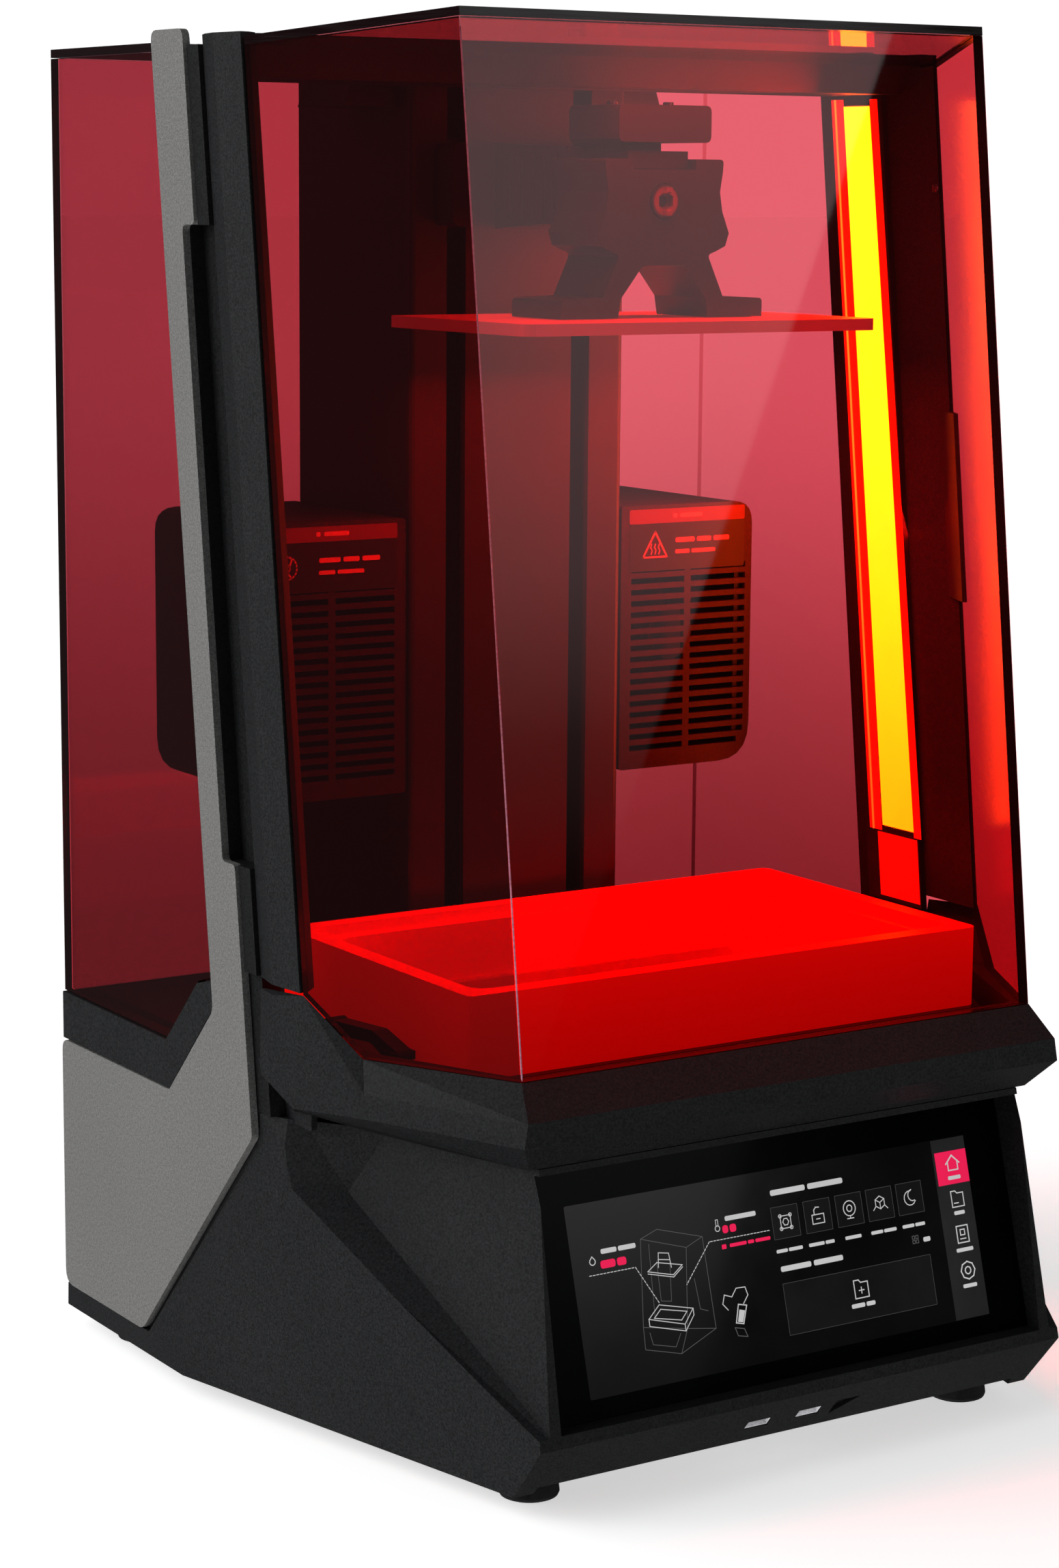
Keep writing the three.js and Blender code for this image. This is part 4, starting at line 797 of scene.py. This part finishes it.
crescent = arc(u, v, 3.4, 80, 331, 25) + arc(u + 1.7, v + 1.2, 2.7, 290, 99, -27)
white_marks += line(crescent, 0.42, closed=True)

# A folder with a plus sign and its caption, in the file panel.
u, v, arm = 156.5, 23.6, 1.4
white_marks += folder(u, v + 0.7, 4.0, 4.2, 0.5)
white_marks += line([(u - arm, v), (u + arm, v)], 0.45) + line([(u, v - arm), (u, v + arm)], 0.45)
white_marks += words(u, 16.8, 2.0, [7.8, 5.2])

# The side bar's four entries: a house on a red tab, a folder, a box and an eight-sided nut.
u = 220.8
tab = rounded(210.8, 64.2, SCREEN_W - SCREEN_MARGIN, 80.0)
screen_piece("display_tab", [tab], 0.16, red_ink)
white_marks += line([(u - 4.0, 74.0), (u, 77.8), (u + 4.0, 74.0)], 0.7)
white_marks += line([(u - 2.9, 74.6), (u - 2.9, 70.8), (u + 2.9, 70.8), (u + 2.9, 74.6)], 0.6)
white_marks += words(u, 67.2, 1.8, [7.6])
white_marks += folder(u, 57.0, 3.6, 3.8, 0.5) + line([(u - 2.2, 55.0), (u + 0.2, 55.0)], 0.5)
white_marks += words(u, 50.3, 1.8, [6.4])
white_marks += box_line(u - 3.4, 36.0, u + 3.4, 44.0, 0.55)
white_marks += box_line(u - 1.3, 39.6, u + 1.3, 42.2, 0.5)
white_marks += line([(u - 1.6, 37.8), (u + 1.6, 37.8)], 0.5) + words(u, 32.6, 1.8, [10.2])
white_marks += outline_of(u, 22.6, 4.2, 8, 0.6) + outline_of(u, 22.6, 1.7, 12, 0.55)
white_marks += words(u, 15.4, 1.8, [8.4])

screen_piece("display_sketch", grey_marks, 0.20, faint_ink, 0.03)
screen_piece("display_marks", white_marks, 0.25, white_ink, 0.03)
screen_piece("display_readings", red_marks, 0.25, red_ink, 0.03)


# ---------------------------------------------------------------- marks on the two filter boxes


LABEL_BOTTOM, LABEL_WIDE = 388.0, 73.0


def box_piece(part, side, face, outlines, lift, thickness, material):
    name = f"box_{part}_{side}"
    data = plate_mesh(name, face, outlines, lift, thickness)
    add_piece(name, data, "housing", material)


def filter_box_label(side, left):
    """A dark plate under a red band, with plain symbols, across one box's face."""
    low, _ = box_mm(f"box_grille_{side}")
    face = Board((left, low.y, LABEL_BOTTOM), (1, 0, 0), (0, 0, 1))
    box_piece("plate", side, face, [rounded(0, 0, LABEL_WIDE, 24.4, 1.0)], 0.05, 0.10, label_dark)
    box_piece("band", side, face, [rounded(0, 24.6, LABEL_WIDE, 32.0, 1.0)], 0.05, 0.10, label_red_painted_glow)
    if side == "right":
        # Three wisps of heat in a triangle.
        marks = outline_of(16.0, 11.5, 8.6, 3, 0.9, 90)
        for du in (-2.4, 0.0, 2.4):
            marks += line([(16.0 + du, 8.8), (16.6 + du, 10.6), (15.6 + du, 12.2), (16.2 + du, 13.8)], 0.6)
    else:
        # A fan: hub, rim and three swept blades.
        cu, cv, hub, tip, sweep = 11.0, 12.5, 1.8, 5.4, 0.5
        marks = outline_of(cu, cv, 5.6, 18, 0.8) + outline_of(cu, cv, hub, 10, 0.8)
        for k in range(3):
            root = math.radians(120 * k + 30)
            end = root + sweep
            blade = [
                (cu + hub * math.cos(root), cv + hub * math.sin(root)),
                (cu + tip * math.cos(end), cv + tip * math.sin(end)),
            ]
            marks += line(blade, 0.9)
    marks += words(46.0, 15.5, 2.4, [12.0, 9.0, 10.0], 1.6) + words(41.5, 9.5, 2.0, [9.0, 15.0], 1.4)
    marks += words(LABEL_WIDE / 2, 28.3, 2.2, [2.4, 14.0], 2.0)
    box_piece("marks", side, face, marks, 0.20, 0.08, label_mark)


filter_box_label("right", 69.3)
filter_box_label("left", -142.3)


# ---------------------------------------------------------------- screws, painted lamp light, seam and gussets


def screw_row(prefix, places, axis, radius, body):
    for count, place in enumerate(places, 1):
        cap_screw(f"{prefix}_{count}", place, axis, radius, body)


arm_low, arm_high = box_mm("platform_arm")
ARM_SCREW_X, ARM_SCREW_SETBACK = 16.0, 21.0
arm_places = [(x, arm_low.y + ARM_SCREW_SETBACK, arm_high.z) for x in (-ARM_SCREW_X, ARM_SCREW_X)]
screw_row("arm_screw", arm_places, (0, 0, 1), 2.6, "lift")

bar_low, bar_high = box_mm("light_housing")


def lamp_edges(bottom):
    """Front y, rear y and z of the glowing diffuser at its lower or upper end."""
    low, high = box_mm("light_diffuser")
    level = low.z if bottom else high.z
    along = [v.co.y / MM for v in nodes["light_diffuser"].data.vertices if abs(v.co.z / MM - level) < 1.0]
    return min(along), max(along), level


def painted_lamp_light_strip(name, corners, material, lift):
    """A strip of painted lamp light on the housing's inner face, round the diffuser. Each corner is (y, z).
    """
    face = Board((bar_low.x, 0, 0), (0, -1, 0), (0, 0, 1))
    outline = [(-y, z) for y, z in corners]
    add_piece(name, plate_mesh(name, face, [outline], lift, 0.3), "housing", material)


front_low, rear_low, z_low = lamp_edges(bottom=True)
front_high, rear_high, z_high = lamp_edges(bottom=False)
# How far the strips run on past the diffuser's ends.
STRIP_BELOW, STRIP_ABOVE = 3.0, 3.5
# Name, the diffuser's edge at its lower and upper end, where the strip starts and ends from it, look, lift.
# These strips glow though the housing is no lamp: painted light of the diffuser on its housing.
STRIPS = (
    ("lamp_rim_rear", rear_low, rear_high, 0.8, 10.5, painted_lamp_light_red, 0.05),
    ("lamp_line_rear", rear_low, rear_high, 6.6, 7.8, painted_lamp_light_orange, 0.4),
    ("lamp_rim_front", front_low, front_high, -6.5, -0.8, painted_lamp_light_red, 0.05),
)
for name, low_y, high_y, start, end, material, lift in STRIPS:
    low_end = [(low_y + start, z_low - STRIP_BELOW), (low_y + end, z_low - STRIP_BELOW)]
    high_end = [(high_y + end, z_high + STRIP_ABOVE), (high_y + start, z_high + STRIP_ABOVE)]
    painted_lamp_light_strip(name, low_end + high_end, material, lift)
# The channel below the diffuser, down to the foot of the housing, painted with the lamp's red light.
channel_high_z, channel_low_z = z_low - 4.0, bar_low.z + 2.0
channel_top = [(rear_low + 4.0, channel_high_z), (front_low - 3.0, channel_high_z)]
channel_bottom = [(front_low - 7.0, channel_low_z), (rear_low, channel_low_z)]
painted_lamp_light_strip("lamp_channel", channel_top + channel_bottom, painted_lamp_light_red, 0.05)

BAR_SCREW_IN, BAR_SCREW_DROP = 4.4, 46.0
lamp_screw_place = (bar_low.x, bar_low.y + BAR_SCREW_IN, bar_high.z - BAR_SCREW_DROP)
screw_row("lamp_screw", [lamp_screw_place], (-1, 0, 0), 1.9, "housing")

# The glued seam between the hood's front and left sheets.
sheet_low, sheet_high = box_mm("hood_glass_front")
seam_x = sheet_low.x + 0.3
seam_start = Vector((seam_x, sheet_low.y + 0.1, sheet_low.z + 0.4))
seam_end = Vector((seam_x, sheet_high.y - 3.6, sheet_high.z - 4.2))
seam_length = (seam_end - seam_start).length
SEAM_TAPER = 1.5
seam_profile = [
    (0.0, 0.2),
    (SEAM_TAPER, 0.40),
    (seam_length / 2, 0.36),
    (seam_length - SEAM_TAPER, 0.40),
    (seam_length, 0.2),
]
seam = lathe("hood_seam", seam_start, seam_end - seam_start, seam_profile, 10)
add_piece("hood_seam", seam, "hood", glued_edge, smooth=True)

_, back_high = box_mm("base_shell")
REAR_SCREW_X, REAR_SCREW_Z = (-176.0, -60.0, 60.0, 176.0), (34.0, 138.0)
back_places = [(x, back_high.y, z) for x in REAR_SCREW_X for z in REAR_SCREW_Z]
screw_row("rear_screw", back_places, (0, 1, 0), 3.0, "housing")


def corner_gusset(side, sign):
    """A web inside the casing's shoulder that closes the view between casing, collar and pillar."""
    x, front_y, rear_y, base, height, thick = 187.5, -52.0, -12.0, 157.0, 18.0, 3.0
    start_y = front_y if sign < 0 else rear_y
    face = Board((sign * x, start_y, base), (0, -sign, 0), (0, 0, 1))
    outline = rounded(0, 0, rear_y - front_y, height, 1.5)
    name = f"corner_gusset_{side}"
    data = plate_mesh(name, face, [outline], 0.0, thick)
    add_piece(name, data, "housing", look["textured_black"])


corner_gusset("left", -1)
corner_gusset("right", 1)


# ---------------------------------------------------------------- camera, light and floor

def square_piece(name, corners):
    """A stage piece with four corners."""
    data = bpy.data.meshes.new(name)
    data.from_pydata(corners, [], [(0, 1, 2, 3)])
    obj = bpy.data.objects.new(name, data)
    scene.collection.objects.link(obj)
    return obj


FLOOR_REACH = 60.0
floor_signs = ((-1, -1), (1, -1), (1, 1), (-1, 1))
floor = square_piece("floor", [(a * FLOOR_REACH, b * FLOOR_REACH, 0) for a, b in floor_signs])
floor_shader = Shader("floor")
paper = floor_shader.noise(3.0, 3.0)
floor_shader.set(Base_Color=floor_shader.patchy(paper, (0.92, 0.92, 0.92), (0.94, 0.94, 0.94)))
floor_shader.set(Roughness=0.9, Specular_IOR_Level=0.05, Emission_Color=WHITE, Emission_Strength=0.58)
floor.data.materials.append(floor_shader.material)
floor.visible_glossy = False
floor.visible_diffuse = False


CARD_Y, CARD_HEIGHT = -2.6, 1.6


def card(name, corners, stops):
    """A studio card off to the front, seen only as a reflection. Stops are (height, brightness)."""
    obj = square_piece(name, corners)
    s = Shader(name)
    height = s.grey(s.axis("Z"), 0.0, 1.0, 0.0, CARD_HEIGHT)
    level = s.ramp(height, [(z / CARD_HEIGHT, scaled(WHITE, b)) for z, b in stops])
    glow = s.tree.nodes.new("ShaderNodeEmission")
    s.tree.links.new(level, glow.inputs["Color"])
    s.tree.links.new(glow.outputs["Emission"], s.output.inputs["Surface"])
    obj.data.materials.append(s.material)
    for kind in ("camera", "diffuse", "transmission", "volume_scatter", "shadow"):
        setattr(obj, f"visible_{kind}", False)


# The two cards meet along a leaning line, which shows as the edge of the sheen on the front.
MEET_LOW, MEET_HIGH = (1.351, CARD_Y, 0.0), (2.277, CARD_Y, CARD_HEIGHT)
CARD_LEFT, CARD_RIGHT = 0.6, 3.6
card(
    "white_card",
    [(CARD_LEFT, CARD_Y, 0.0), MEET_LOW, MEET_HIGH, (CARD_LEFT, CARD_Y, CARD_HEIGHT)],
    [(0.0, 0.02), (0.30, 0.05), (0.47, 0.22), (0.69, 0.80), (1.1, 1.25)],
)
card(
    "black_card",
    [MEET_LOW, (CARD_RIGHT, CARD_Y, 0.0), (CARD_RIGHT, CARD_Y, CARD_HEIGHT), MEET_HIGH],
    [(0.0, 0.01), (1.0, 0.02)],
)

camera_data = bpy.data.cameras.new("camera")
camera = bpy.data.objects.new("camera", camera_data)
scene.collection.objects.link(camera)
scene.camera = camera
# The view of the photograph: place in metres, turn to the right, tilt down and roll in radians.
EYE = (-0.9364, -1.3933, 0.5826)
YAW, PITCH, ROLL = 0.5733, 0.1703, 0.0077
forward = Vector((math.sin(YAW) * math.cos(PITCH), math.cos(YAW) * math.cos(PITCH), -math.sin(PITCH)))
right = Vector((math.cos(YAW), -math.sin(YAW), 0.0))
up = right.cross(forward)
turned_right = math.cos(ROLL) * right + math.sin(ROLL) * up
turned_up = -math.sin(ROLL) * right + math.cos(ROLL) * up
camera.matrix_world = Matrix(
    [
        (turned_right.x, turned_up.x, -forward.x, EYE[0]),
        (turned_right.y, turned_up.y, -forward.y, EYE[1]),
        (turned_right.z, turned_up.z, -forward.z, EYE[2]),
        (0, 0, 0, 1),
    ]
)
camera_data.sensor_width = 36.0
camera_data.lens = 79.56
camera_data.clip_start = 0.1

world = bpy.data.worlds.new("world")
scene.world = world
world.use_nodes = True
sky = world.node_tree.nodes["Background"]
# What the camera sees, what reflects in gloss, and the least that lights matt surfaces.
SKY_FOR_EYE, SKY_FOR_SHINE, SKY_BASE = 1.08, 0.08, 0.05
# Soft light comes from the machine's left rear, less from its right front, and up from the bright table.
SKY_LOBES = (((-0.72, 0.69, 0.10), 1.65), ((0.80, -0.58, 0.12), 0.34), ((0.0, 0.0, -1.0), 2.90))


def sky_node(kind, **values):
    node = world.node_tree.nodes.new(kind)
    for key, value in values.items():
        setattr(node, key, value)
    return node


def sky_math(operation, a, b):
    node = sky_node("ShaderNodeMath", operation=operation)
    for socket, value in zip(node.inputs, (a, b)):
        if isinstance(value, bpy.types.NodeSocket):
            world.node_tree.links.new(value, socket)
        else:
            socket.default_value = value
    return node.outputs["Value"]


direction = sky_node("ShaderNodeTexCoord").outputs["Generated"]
path = sky_node("ShaderNodeLightPath")
light = SKY_BASE
for toward, strength in SKY_LOBES:
    dot = sky_node("ShaderNodeVectorMath", operation="DOT_PRODUCT")
    dot.inputs[1].default_value = toward
    world.node_tree.links.new(direction, dot.inputs[0])
    facing = sky_math("MAXIMUM", dot.outputs["Value"], 0.0)
    lobe = sky_math("MULTIPLY", facing, facing)
    light = sky_math("ADD", sky_math("MULTIPLY", lobe, strength), light)
shade = light
for ray, level in (("Is Glossy Ray", SKY_FOR_SHINE), ("Is Camera Ray", SKY_FOR_EYE)):
    swap = sky_node("ShaderNodeMix", data_type="FLOAT")
    swap.inputs["B"].default_value = level
    world.node_tree.links.new(shade, swap.inputs["A"])
    world.node_tree.links.new(path.outputs[ray], swap.inputs["Factor"])
    shade = swap.outputs["Result"]
world.node_tree.links.new(shade, sky.inputs["Strength"])
sky.inputs["Color"].default_value = (*WHITE, 1.0)


def aim(obj, place, target):
    obj.location = place
    obj.rotation_mode = "QUATERNION"
    obj.rotation_quaternion = (Vector(target) - Vector(place)).to_track_quat("-Z", "Y")


def area_light(name, place, target, size, power, colour=WHITE, inside=False):
    """A rectangular light. One inside the machine lights it without being seen."""
    data = bpy.data.lights.new(name, "AREA")
    data.shape = "RECTANGLE"
    data.size, data.size_y = size
    data.energy = power
    data.color = colour
    obj = bpy.data.objects.new(name, data)
    scene.collection.objects.link(obj)
    aim(obj, place, target)
    if inside:
        obj.visible_camera = False
        obj.visible_glossy = False
        obj.visible_transmission = False


sun_data = bpy.data.lights.new("sun", "SUN")
sun_data.energy = 0.75
sun_data.angle = math.radians(50)
sun = bpy.data.objects.new("sun", sun_data)
scene.collection.objects.link(sun)
aim(sun, (-2.6, 0.5, 2.0), (0, 0, 0))
sun.visible_glossy = False

RED_GLOW = (1.0, 0.02, 0.008)
area_light("softbox", (-2.7, 1.0, 1.1), (0, 0, 0.3), (0.9, 1.6), 14.0)
area_light("inner_glow", (0.0, -0.03, 0.50), (0, -0.05, 0.2), (0.22, 0.16), 3.0, RED_GLOW, inside=True)
area_light("inner_front", (0.0, -0.08, 0.63), (0, -0.02, 0.2), (0.24, 0.05), 0.7, RED_GLOW, inside=True)
area_light("lamp_glow", (0.178, 0.0, 0.44), (0.0, -0.02, 0.40), (0.05, 0.36), 7.0, RED_GLOW, inside=True)
# The last light above stands for what the diffuser sheds on its surroundings.
nodes["light_diffuser"].visible_diffuse = False

scene.view_settings.view_transform = "Standard"
